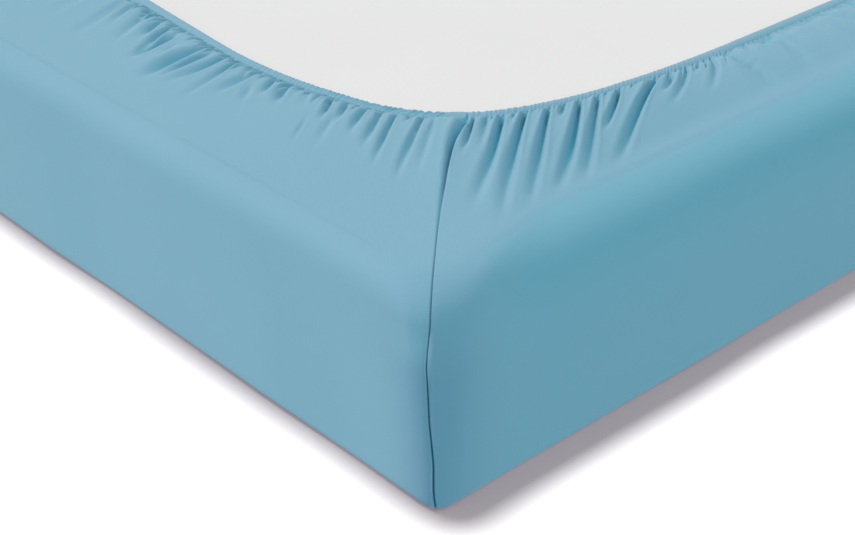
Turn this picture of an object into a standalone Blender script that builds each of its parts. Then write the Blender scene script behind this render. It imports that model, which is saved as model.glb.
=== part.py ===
"""A fitted sheet pulled over a mattress that lies underside up.

The sheet's main panel is on the ground, its walls stand up round the mattress, and its
border wraps over the upper rim and ends in a hem that an elastic gathers. Everything is in
metres, +Z up, with the origin on the ground under the middle. The corner with the traced
gathers is the one at -X, -Y. Blender 4.5.
"""

import math
from collections import namedtuple

import bmesh
import bpy
import numpy as np

# --- Driving sizes -----------------------------------------------------------------------

MATTRESS_WIDTH = 1.40            # along X
MATTRESS_LENGTH = 2.00           # along Y
MATTRESS_HEIGHT = 0.20
CLOTH = 0.0015                   # thickness of the sheet
CLEAR_FLAT = 0.0003              # gap where the mattress lies flat on the main panel
CLEAR_ROUND = 0.002              # gap at the walls, the rims and under the border

FLOOR_ROUND = 0.006              # the main panel turns up into the wall with this radius
RIM_ROUND_LONG = 0.025           # the upper rim along the long sides, which is crisp
RIM_ROUND_SHORT = 0.060          # the upper rim along the short sides, which is soft
CORNER_AT_FLOOR = 0.014          # plan radius of the upright corners, at the floor
CORNER_AT_RIM = 0.040            # and at the upper rim

HEM_INSET = 0.188                # from the outside of the wall to the hem's edge
HEM_CORNER = 0.225               # plan radius of the hem's corners
HEM_BOW = 0.034                  # extra inset of the hem halfway along a long side
HEM_BAND = 0.013                 # width of the hem, from its edge to its stitching

GATHER_REACH = 0.205             # the gathers are drawn this far out from the hem at most
BESIDE_RIM = 0.028               # flat cloth left between the gathers and the upper rim
CREST_SHARE = 0.21               # height of a gather, as a share of its width
CREST_MOST = 0.010               # and the most that it may be
FULL_RUN = 0.35                  # a gather keeps its height over this share of its run
FADE_RUN = 0.75                  # and loses it over this one
PANEL_RING = 0.060               # inset of the main panel's inner ring

# The gathers along the rest of the hem, where none was traced.
HIDDEN_SEED = 7
HIDDEN_SPACING = 0.058           # their mean distance
HIDDEN_SPREAD = 0.35             # how uneven it is
HIDDEN_RUN = (0.08, 0.17)        # shortest and longest
HIDDEN_DEEP = (0.65, 1.00)       # shallowest and deepest trough

# --- What follows from them --------------------------------------------------------------

SKIN = CLOTH + CLEAR_ROUND       # from the mattress's side to the outside of the sheet
HALF_X = MATTRESS_WIDTH / 2 + SKIN
HALF_Y = MATTRESS_LENGTH / 2 + SKIN
MATTRESS_BOTTOM = CLOTH + CLEAR_FLAT
MATTRESS_TOP = MATTRESS_BOTTOM + MATTRESS_HEIGHT
BORDER_TOP = MATTRESS_TOP + SKIN
QUARTER = math.pi / 4
HEM_HALF_ARC = HEM_CORNER * QUARTER

# The main gathers at the corner that shows, in the order in which they stand along the hem.
# at:   where the trough meets the hem, along it from the corner seam (+ on the short side)
# run:  how far the trough reaches from the hem
# deep: how deep the trough is, as a share of the crest beside it
Gather = namedtuple("Gather", "at run deep")
TRACED_GATHERS = [
    Gather(-0.405, 0.100, 0.75),
    Gather(-0.361, 0.070, 0.80),
    Gather(-0.306, 0.120, 1.00),
    Gather(-0.266, 0.105, 0.80),
    Gather(-0.222, 0.060, 0.60),
    Gather(-0.173, 0.050, 0.65),
    Gather(-0.126, 0.108, 0.80),
    Gather(-0.088, 0.070, 0.60),
    Gather(-0.056, 0.120, 0.80),
    Gather(-0.027, 0.155, 0.90),
    Gather(0.012, 0.205, 1.00),
    Gather(0.044, 0.200, 0.85),
    Gather(0.071, 0.205, 0.90),
    Gather(0.101, 0.130, 0.85),
    Gather(0.132, 0.140, 1.00),
    Gather(0.156, 0.150, 0.90),
    Gather(0.184, 0.125, 0.85),
    Gather(0.252, 0.205, 1.00),
    Gather(0.304, 0.140, 0.80),
]

# The way in which the gathers run at that corner, seen from above: 0 is towards -X and 90
# towards -Y. Elsewhere they fan out evenly from the hem to the rim.
Lean = namedtuple("Lean", "at heading")
TRACED_LEAN = [
    Lean(-0.460, 8.0),
    Lean(-0.350, 14.0),
    Lean(-0.270, 24.0),
    Lean(-0.190, 33.0),
    Lean(-0.050, 39.0),
    Lean(0.070, 38.0),
    Lean(0.180, 35.0),
    Lean(0.310, 28.0),
]
LEAN_BLEND = 0.14                # length of hem over which the traced way becomes the even one


# --- Outlines seen from above ------------------------------------------------------------
# An outline is a rectangle with round corners, walked against the clock from the middle of
# the corner at -X, -Y. It has eight stretches, each from the middle of a corner to the
# middle of a side or back. A place on it is a stretch and a share of that stretch.
# For each stretch: does its side run along X, in which quarter does it lie, and does it
# lead away from its corner?

STRETCH_ALONG_X = (True, True, False, False, True, True, False, False)
STRETCH_SIGNS = ((-1, -1), (1, -1), (1, -1), (1, 1), (1, 1), (-1, 1), (-1, 1), (-1, -1))
STRETCH_OUTWARD = (True, False, True, False, True, False, True, False)


def half_side(along_x):
    """Half the length of a side that runs along X, or along Y."""
    return HALF_X if along_x else HALF_Y


def smooth(value):
    """Rise from 0 to 1 without a corner at either end."""
    value = min(1.0, max(0.0, value))
    return value * value * (3.0 - 2.0 * value)


def outline_point(stretch, share, inset, radius, bow=0.0):
    """A point of the outline that lies `inset` inside the sheet's own, and its normal."""
    along_x = STRETCH_ALONG_X[stretch]
    half = half_side(along_x)
    arc = radius * QUARTER
    straight = half - inset - radius
    if not STRETCH_OUTWARD[stretch]:
        share = 1.0 - share
    walked = share * (arc + straight)
    if walked < arc:
        turn = QUARTER - walked / radius
        along = inset + radius - radius * math.sin(turn)
        across = inset + radius - radius * math.cos(turn)
        normal_along, normal_across = math.sin(turn), math.cos(turn)
    else:
        along = inset + radius + walked - arc
        across = inset
        normal_along, normal_across = 0.0, 1.0
    if not along_x:
        side_share = max(0.0, walked - arc) / straight
        across += bow * math.sin(side_share * math.pi / 2) ** 2
    sign_x, sign_y = STRETCH_SIGNS[stretch]
    if along_x:
        point = (sign_x * (HALF_X - along), sign_y * (HALF_Y - across))
        normal = (sign_x * normal_along, sign_y * normal_across)
    else:
        point = (sign_x * (HALF_X - across), sign_y * (HALF_Y - along))
        normal = (sign_x * normal_across, sign_y * normal_along)
    return np.array(point), np.array(normal)


def hem_stretch_length(stretch):
    return HEM_HALF_ARC + half_side(STRETCH_ALONG_X[stretch]) - HEM_INSET - HEM_CORNER


HEM_LENGTH = sum(hem_stretch_length(stretch) for stretch in range(8))


def place_on_hem(at):
    """The stretch and share that lie `at` metres along the hem from the corner seam."""
    left = at % HEM_LENGTH
    for stretch in range(8):
        length = hem_stretch_length(stretch)
        if left < length:
            return stretch, left / length
        left -= length
    return 7, 1.0


def hem_point(at):
    stretch, share = place_on_hem(at)
    return outline_point(stretch, share, HEM_INSET, HEM_CORNER, HEM_BOW)[0]


def even_way(at):
    """The even fan: straight from the hem to the same share of the outer outline."""
    stretch, share = place_on_hem(at)
    rim = outline_point(stretch, share, 0.0, CORNER_AT_RIM)[0]
    way = rim - hem_point(at)
    return way / np.linalg.norm(way)


def gather_way(at):
    """The unit vector, seen from above, along which the cloth is drawn at this place."""
    place = at if at < HEM_LENGTH / 2 else at - HEM_LENGTH
    first, last = TRACED_LEAN[0].at, TRACED_LEAN[-1].at
    heading = np.interp(place, [lean.at for lean in TRACED_LEAN],
                        [lean.heading for lean in TRACED_LEAN])
    angle = math.radians(heading)
    traced = np.array((-math.cos(angle), -math.sin(angle)))
    beyond = max(first - place, place - last, 0.0)
    way = traced + (even_way(at) - traced) * smooth(beyond / LEAN_BLEND)
    return way / np.linalg.norm(way)


def rim_round(normal):
    """The upper rim's radius, which changes over the corners from one side's to the next."""
    return RIM_ROUND_LONG * normal[0] ** 2 + RIM_ROUND_SHORT * normal[1] ** 2


# --- Meshes ------------------------------------------------------------------------------

def make_material(name, colour, roughness):
    material = bpy.data.materials.new(name)
    material.use_nodes = True
    shader = material.node_tree.nodes["Principled BSDF"]
    shader.inputs["Base Color"].default_value = (*colour, 1.0)
    shader.inputs["Roughness"].default_value = roughness
    shader.inputs["Metallic"].default_value = 0.0
    material.diffuse_color = (*colour, 1.0)
    return material


def make_object(name, mesh, material):
    shell = bpy.data.objects.new(name, mesh)
    bpy.context.collection.objects.link(shell)
    mesh.materials.append(material)
    mesh.shade_smooth()
    return shell


def add_ring(bm, points):
    return [bm.verts.new(point) for point in points]


def join_even(bm, lower, upper):
    """Join two closed rings that have the same number of points."""
    count = len(lower)
    for i in range(count):
        j = (i + 1) % count
        bm.faces.new((lower[i], lower[j], upper[j], upper[i]))


def join_uneven(bm, coarse, fine):
    """Join two closed rings of different counts, each fine point to its nearest coarse one."""
    count = len(coarse)
    nearest = [min(range(count), key=lambda k: (coarse[k].co - point.co).length)
               for point in fine]
    reached = nearest[0]
    for j, here in enumerate(fine):
        after = fine[(j + 1) % len(fine)]
        bm.faces.new((coarse[reached % count], after, here))
        goal = nearest[(j + 1) % len(fine)]
        steps = (goal - reached + count // 2) % count - count // 2
        for _ in range(max(0, steps)):
            bm.faces.new((coarse[reached % count], coarse[(reached + 1) % count], after))
            reached += 1


# Shares of a stretch at which the walls have a column: close together round the corner.
WALL_SHARES = (0.0, 0.016, 0.032, 0.050, 0.09, 0.14, 0.20, 0.27, 0.36, 0.48, 0.62, 0.80)


def wall_places():
    """The stretch and share of each of the walls' columns, in order."""
    places = []
    for stretch in range(8):
        shares = WALL_SHARES
        if not STRETCH_OUTWARD[stretch]:
            shares = (0.0, *(1.0 - share for share in reversed(WALL_SHARES[1:])))
        places += [(stretch, share) for share in shares]
    return places


# The section through a side, from the main panel up to where the border lies flat.
FLOOR_TURNS = (0.0, 30.0, 60.0, 90.0)
RIM_TURNS = (0.0, 22.5, 45.0, 67.5, 90.0)


def side_rings(of_mattress):
    """Rings of a side's section: the outside of the sheet, or the mattress inside it."""
    rings = []

    def ring(place_of):
        points = []
        for stretch, share in wall_places():
            rim = rim_round(outline_point(stretch, share, 0.0, CORNER_AT_RIM)[1])
            inset, height, corner, outward, upward = place_of(rim)
            spot, normal = outline_point(stretch, share, inset, corner)
            if of_mattress:
                spot = spot - normal * outward * SKIN
                height -= upward * (SKIN if upward > 0.0 else MATTRESS_BOTTOM)
            points.append((spot[0], spot[1], height))
        rings.append(points)

    for degrees in FLOOR_TURNS:
        turn = math.radians(degrees)

        def under_floor(rim, outward=math.sin(turn), downward=math.cos(turn)):
            inset = FLOOR_ROUND * (1.0 - outward)
            return inset, FLOOR_ROUND * (1.0 - downward), CORNER_AT_FLOOR, outward, -downward

        ring(under_floor)

    def middle(rim):
        height = (FLOOR_ROUND + BORDER_TOP - rim) / 2
        return 0.0, height, (CORNER_AT_FLOOR + CORNER_AT_RIM) / 2, 1.0, 0.0

    ring(middle)
    for degrees in RIM_TURNS:
        turn = math.radians(degrees)

        def over_rim(rim, outward=math.cos(turn), upward=math.sin(turn)):
            inset = rim * (1.0 - outward)
            corner = CORNER_AT_RIM + (HEM_CORNER - CORNER_AT_RIM) * inset / HEM_INSET
            return inset, BORDER_TOP - rim + rim * upward, corner, outward, upward

        ring(over_rim)
    return rings


def hidden_gathers():
    """Main gathers along the rest of the hem, unevenly spaced but the same every time."""
    draw = np.random.default_rng(HIDDEN_SEED)
    first = TRACED_GATHERS[-1].at + HIDDEN_SPACING
    last = HEM_LENGTH + TRACED_GATHERS[0].at - HIDDEN_SPACING
    count = round((last - first) / HIDDEN_SPACING)
    gathers = []
    for i in range(count + 1):
        shift = HIDDEN_SPREAD * draw.uniform(-1.0, 1.0) * HIDDEN_SPACING
        at = first + (last - first) * i / count + shift
        gathers.append(Gather(at, draw.uniform(*HIDDEN_RUN), draw.uniform(*HIDDEN_DEEP)))
    return gathers


# A gather's own columns, as shares of the way from its trough to the next one, and how
# high the cloth stands there, as a share of the crest.
Column = namedtuple("Column", "share height")
GATHER_COLUMNS = (Column(0.22, 0.80), Column(0.50, 1.00), Column(0.78, 0.80))

# Rows of the border, from its outer end to the hem's edge. Each lies at a share of the
# gather's reach plus a fixed distance from the hem, and has this share of its height.
Row = namedtuple("Row", "share distance height")
BORDER_ROWS = (
    Row(1.00, 0.0, 0.00),
    Row(0.62, 0.0, 0.45),
    Row(0.36, 0.0, 0.85),
    Row(0.17, 0.0, 1.00),
    Row(0.00, HEM_BAND, 0.50),
    Row(0.00, 0.0, 0.22),
)


def border_columns():
    """Place on the hem, crest height, share of it and run, for each column of the border."""
    traced = [gather._replace(at=gather.at % HEM_LENGTH) for gather in TRACED_GATHERS]
    gathers = sorted(traced + hidden_gathers())
    columns = []
    for i, gather in enumerate(gathers):
        after = gathers[(i + 1) % len(gathers)]
        width = (after.at - gather.at) % HEM_LENGTH
        crest = min(CREST_MOST, CREST_SHARE * width)
        run = (gather.run + after.run) / 2
        columns.append((gather.at, crest, 1.0 - gather.deep, gather.run))
        for column in GATHER_COLUMNS:
            at = (gather.at + column.share * width) % HEM_LENGTH
            columns.append((at, crest, column.height, run))
    return columns


def reach_of(at):
    """How far the cloth runs from the hem along its gathers before the rim turns down."""
    start, way = hem_point(at), gather_way(at)
    reach = GATHER_REACH
    for axis, half, rim in ((0, HALF_X, RIM_ROUND_LONG), (1, HALF_Y, RIM_ROUND_SHORT)):
        room = half - rim - BESIDE_RIM - abs(start[axis])
        if abs(way[axis]) * reach > room:
            reach = room / abs(way[axis])
    return reach


def border_rings():
    """Rings of the gathered border, from its outer end to the hem's edge."""
    columns = border_columns()
    rings = []
    for row in BORDER_ROWS:
        points = []
        for at, crest, share, run in columns:
            away = row.share * reach_of(at) + row.distance
            fade = 1.0 - smooth((away - FULL_RUN * run) / (FADE_RUN * run))
            spot = hem_point(at) + gather_way(at) * away
            height = BORDER_TOP + crest * share * row.height * fade
            points.append((spot[0], spot[1], height))
        rings.append(points)
    return rings


# --- The two pieces ----------------------------------------------------------------------

def build_sheet():
    bm = bmesh.new()
    panel = []
    for stretch, share in wall_places():
        spot = outline_point(stretch, share, PANEL_RING, CORNER_AT_RIM)[0]
        panel.append((spot[0], spot[1], 0.0))
    rings = [add_ring(bm, points) for points in [panel] + side_rings(of_mattress=False)]
    for lower, upper in zip(rings, rings[1:]):
        join_even(bm, lower, upper)
    bm.faces.new(list(reversed(rings[0])))
    border = [add_ring(bm, points) for points in border_rings()]
    join_uneven(bm, rings[-1], border[0])
    for lower, upper in zip(border, border[1:]):
        join_even(bm, lower, upper)
    bmesh.ops.recalc_face_normals(bm, faces=bm.faces)
    mesh = bpy.data.meshes.new("fitted_sheet")
    bm.to_mesh(mesh)
    bm.free()
    sheet = make_object("fitted_sheet", mesh, make_material("cotton", (0.25, 0.50, 0.62), 0.85))
    thickness = sheet.modifiers.new("thickness", "SOLIDIFY")
    thickness.thickness = CLOTH
    thickness.offset = -1.0
    return sheet


def build_mattress():
    bm = bmesh.new()
    rings = [add_ring(bm, points) for points in side_rings(of_mattress=True)]
    for lower, upper in zip(rings, rings[1:]):
        join_even(bm, lower, upper)
    bm.faces.new(list(reversed(rings[0])))
    bm.faces.new(rings[-1])
    bmesh.ops.recalc_face_normals(bm, faces=bm.faces)
    mesh = bpy.data.meshes.new("mattress")
    bm.to_mesh(mesh)
    bm.free()
    return make_object("mattress", mesh, make_material("ticking", (0.80, 0.80, 0.79), 0.90))


def main():
    for old in list(bpy.data.objects):
        bpy.data.objects.remove(old, do_unlink=True)
    build_sheet()
    build_mattress()


main()
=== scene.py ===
# %% [markdown]
# # A fitted sheet pulled over a mattress
#
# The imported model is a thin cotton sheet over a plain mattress, lying underside up. The sheet's
# main panel is on the floor, its walls stand up, and its border wraps over the upper rim and
# ends in a hem that an elastic gathers. In this lesson both pieces get their real finish: the
# gathers, the corner seams, the hem with its stitching, woven cotton and a soft studio.
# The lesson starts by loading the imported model, which is the frame that all else fits.

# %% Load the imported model
import math
from collections import namedtuple

import bmesh
import bpy
import numpy as np
from mathutils import Matrix, Vector


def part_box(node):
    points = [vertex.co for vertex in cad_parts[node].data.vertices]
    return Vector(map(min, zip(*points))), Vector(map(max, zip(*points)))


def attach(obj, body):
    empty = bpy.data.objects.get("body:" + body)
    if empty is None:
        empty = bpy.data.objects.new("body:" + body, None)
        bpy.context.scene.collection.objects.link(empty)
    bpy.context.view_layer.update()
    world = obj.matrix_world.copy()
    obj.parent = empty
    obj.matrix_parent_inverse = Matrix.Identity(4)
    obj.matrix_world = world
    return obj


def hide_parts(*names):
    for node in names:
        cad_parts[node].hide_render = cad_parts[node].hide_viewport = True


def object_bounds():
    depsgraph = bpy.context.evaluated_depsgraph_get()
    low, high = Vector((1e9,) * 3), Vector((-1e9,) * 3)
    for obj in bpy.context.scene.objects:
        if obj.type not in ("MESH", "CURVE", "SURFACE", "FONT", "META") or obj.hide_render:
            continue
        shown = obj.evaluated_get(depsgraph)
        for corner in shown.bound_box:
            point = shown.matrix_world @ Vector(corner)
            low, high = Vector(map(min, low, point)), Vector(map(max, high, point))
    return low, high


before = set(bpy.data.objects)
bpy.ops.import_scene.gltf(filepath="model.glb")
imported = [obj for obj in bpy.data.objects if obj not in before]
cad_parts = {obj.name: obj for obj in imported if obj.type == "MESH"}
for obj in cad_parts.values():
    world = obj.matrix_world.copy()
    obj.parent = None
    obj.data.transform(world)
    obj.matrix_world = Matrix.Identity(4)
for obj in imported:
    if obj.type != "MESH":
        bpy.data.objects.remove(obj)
cad_low, cad_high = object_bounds()
print("packed nodes:", sorted(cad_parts), "box:", tuple(cad_low), tuple(cad_high))

# %% [markdown]
# ## Sizes
# The sheet is one cut of cloth, drawn tight over a block with round corners. Its surface is
# described by outlines seen from above, each some way inside the walls, so the first values
# are the radii and insets of those outlines. They are the ones that the CAD part is built from,
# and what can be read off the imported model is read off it.

# %% Sizes of the sheet and of the mattress in it
mattress_low, mattress_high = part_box("mattress")
HALF_X, HALF_Y = cad_high.x, cad_high.y
SKIN = cad_high.x - mattress_high.x      # from the mattress's side to the outside of the sheet
BORDER_TOP = mattress_high.z + SKIN      # where the border lies flat
FLOOR_ROUND = 0.006                      # the main panel turns up into the walls
RIM_ROUND_LONG = 0.029                   # the upper rim is crisp along the long sides
RIM_ROUND_SHORT = 0.068                  # and soft along the short ones
RIM_BLEND = (-0.040, 0.130)              # where one turns into the other, from a corner seam
DROOP = 0.0034                           # the cloth hangs this much low round a soft rim,
DROOP_AT, DROOP_WIDE = 0.018, 0.055      # most of all this far beyond the rim's start
CORNER_AT_FLOOR = 0.014                  # plan radius of the upright corners, at the floor
CORNER_AT_RIM = 0.040                    # and at the upper rim
HEM_INSET = 0.188                        # from the walls to the hem's edge
HEM_CORNER = 0.225                       # plan radius of the hem's corners
HEM_BOW = 0.034                          # the hem sags inwards along the long sides
HEM_BAND = 0.0127                        # width of the hem, from its edge to just past its stitches
print("sheet %.3f x %.3f m, border at %.4f m" % (2 * HALF_X, 2 * HALF_Y, BORDER_TOP))

# %% [markdown]
# ## Outlines
# An outline is a rectangle with round corners. A place on it is a number from 0 to 8, which
# starts at the corner seam at -X, -Y and grows by 1 from each corner to the middle of the
# next side. The same number on a wider outline is the place that the cloth runs to, so a
# number stands for one column of the cloth, all the way from the hem to the floor.

# %% Points and normals of an outline
QUARTER = math.pi / 4                    # each half side has half of a corner's quarter turn
# the eight half sides: whether each runs along X, which way it lies, whether it leaves a corner
ALONG_X = np.array([True, True, False, False, True, True, False, False])
SIGN_X = np.array([-1.0, 1.0, 1.0, 1.0, 1.0, -1.0, -1.0, -1.0])
SIGN_Y = np.array([-1.0, -1.0, -1.0, 1.0, 1.0, 1.0, 1.0, -1.0])
OUTWARD = np.array([True, False, True, False, True, False, True, False])


def outline(around, inset, radius, bow=0.0):
    """Points (n, 2) and outward normals (n, 2) of the outline that lies `inset` inside.

    `radius` is that of its corners, and `bow` is how far its long sides bend inwards.
    """
    whole = np.floor(around)
    stretch = whole.astype(int) % 8
    share = np.where(OUTWARD[stretch], around - whole, 1.0 - (around - whole))
    along_x = ALONG_X[stretch]
    arc = radius * QUARTER
    straight = np.where(along_x, HALF_X, HALF_Y) - inset - radius
    past = share * (arc + straight) - arc
    turn = np.maximum(0.0, -past / radius)
    past = np.maximum(0.0, past)
    along = inset + radius * (1.0 - np.sin(turn)) + past
    across = inset + radius * (1.0 - np.cos(turn))
    across = across + np.where(along_x, 0.0, bow * np.sin(past / straight * math.pi / 2) ** 2)
    inward_x = np.where(along_x, along, across)
    inward_y = np.where(along_x, across, along)
    points = (SIGN_X[stretch] * (HALF_X - inward_x), SIGN_Y[stretch] * (HALF_Y - inward_y))
    normal_x = np.where(along_x, np.sin(turn), np.cos(turn))
    normal_y = np.where(along_x, np.cos(turn), np.sin(turn))
    normals = (SIGN_X[stretch] * normal_x, SIGN_Y[stretch] * normal_y)
    return np.stack(points, axis=-1), np.stack(normals, axis=-1)


SIDE_HALVES = np.where(ALONG_X, HALF_X, HALF_Y)
hem_marks = np.cumsum(SIDE_HALVES - HEM_INSET - HEM_CORNER + HEM_CORNER * QUARTER)
hem_marks = np.concatenate([[0.0], hem_marks])
HEM_LENGTH = hem_marks[-1]
wall_marks = np.cumsum(SIDE_HALVES - CORNER_AT_RIM + CORNER_AT_RIM * QUARTER)
wall_marks = np.concatenate([[0.0], wall_marks])
WALL_LENGTH = wall_marks[-1]
print("the hem is %.2f m long as worn, the walls %.2f m" % (HEM_LENGTH, WALL_LENGTH))

# %% [markdown]
# ## The line of the hem
# An elastic pulls the hem into a curve that is a little fuller than an arc where the arc meets
# the sides. A short table says how far the hem lies inside the plain outline, as the corner
# that shows has it, and every corner gets the same line.

# %% Places along the hem
def around_of(at):
    """The outline's number for a place that lies `at` metres along the hem."""
    return np.interp(np.mod(at, HEM_LENGTH), hem_marks, np.arange(9.0))


def from_marks(place, marks):
    """Distance from the nearest corner seam along the hem or the walls, + on the short side."""
    offsets = np.mod(place, marks[-1])[..., None] - marks[::2]
    nearest = np.argmin(np.abs(offsets), axis=-1)
    signed = np.take_along_axis(offsets, nearest[..., None], axis=-1)[..., 0]
    return np.where(nearest % 2 == 1, -signed, signed)


def from_corner(at):
    """Distance from the nearest corner seam along the hem, + on the short side."""
    return from_marks(at, hem_marks)


# from the corner seam, + on the short side: how far the hem lies inside the plain outline
HEM_LINE = np.array([
    (-0.460, 0.0014), (-0.360, 0.0002), (-0.300, -0.0017), (-0.270, -0.0028),
    (-0.220, -0.0009), (-0.190, 0.0013), (-0.165, 0.0050), (-0.130, 0.0074),
    (-0.110, 0.0058), (-0.080, 0.0012), (-0.050, -0.0012), (-0.010, -0.0028),
    (0.040, -0.0004), (0.070, 0.0043), (0.110, 0.0068), (0.140, 0.0064),
    (0.180, 0.0034), (0.220, -0.0018), (0.260, -0.0044), (0.310, -0.0068),
])
LINE_SMOOTHING = np.linspace(-0.02, 0.02, 5)    # a value is the mean of its neighbours' values


def hem_line(at):
    """Extra inset of the hem, smoothed."""
    near = from_corner(at)
    return np.mean([np.interp(near + shift, *HEM_LINE.T) for shift in LINE_SMOOTHING], axis=0)


def corner_at(inset):
    """Plan radius of the corners of an outline between the rim and the hem."""
    return CORNER_AT_RIM + (HEM_CORNER - CORNER_AT_RIM) * inset / HEM_INSET


def smooth(value):
    """Rise from 0 to 1 without a corner at either end."""
    value = np.clip(value, 0.0, 1.0)
    return value * value * (3.0 - 2.0 * value)


def cloth_across(around):
    """Distance round the walls, which is also the cloth's own coordinate."""
    return np.interp(np.mod(around, 8.0), np.arange(9.0), wall_marks)


def cloth_place(around, distance):
    """The cloth's own coordinates (n, 2): round the walls, and away from the hem."""
    return np.stack((cloth_across(around), distance), axis=-1)


def short_side(around):
    """0 on the long sides, 1 on the short ones, and between the two near the corners."""
    near = from_marks(cloth_across(around), wall_marks)
    return smooth((near - RIM_BLEND[0]) / (RIM_BLEND[1] - RIM_BLEND[0]))


def rim_round(around):
    """The upper rim's roundness."""
    return RIM_ROUND_LONG + (RIM_ROUND_SHORT - RIM_ROUND_LONG) * short_side(around)


def droop(around, beyond):
    """The cloth hangs a little low round the start of a short side's rim."""
    return DROOP * short_side(around) * np.exp(-((beyond - DROOP_AT) / DROOP_WIDE) ** 2)


def border_line(at):
    """Where a column of the border starts at the hem, and where it ends at the rim."""
    around = around_of(at)
    hem, normal = outline(around, HEM_INSET, HEM_CORNER, HEM_BOW)
    hem = hem - normal * hem_line(at)[..., None]
    rim = rim_round(around)
    return hem, outline(around, rim, corner_at(rim))[0]


Across = namedtuple("Across", "points way distance width")


def across_border(at, away, share=0.0):
    """The border's points `away` from the hem, plus a share of the rest of its width."""
    hem, rim = border_line(at)
    width = np.linalg.norm(rim - hem, axis=-1)
    distance = away + (width - away) * share
    points = hem + (rim - hem) * (distance / width)[:, None]
    return Across(points, (rim - hem) / width[:, None], distance, width)


sample = across_border(np.linspace(0.0, HEM_LENGTH, 9)[:-1], HEM_BAND)
print("border width:", np.round(sample.width, 3))

# %% [markdown]
# ## The gathers that show
# Where the elastic draws the cloth together, it stands up in soft ridges with troughs between
# them. No two are alike: some are long and deep, others are short nips. Each trough at the
# corner that shows is one row of this table, in the order in which they stand along the hem.
# Such a table is easier to correct against a picture than sculpted vertices are.
#
# start, end: how far from the hem it begins and ends. first, middle, last: its place along the
# hem there and halfway, from the corner seam, + on the short side. wide, wider: its width where
# it starts, and from halfway on. deep, shallow: its depth where it starts, and halfway. Metres.

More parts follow.
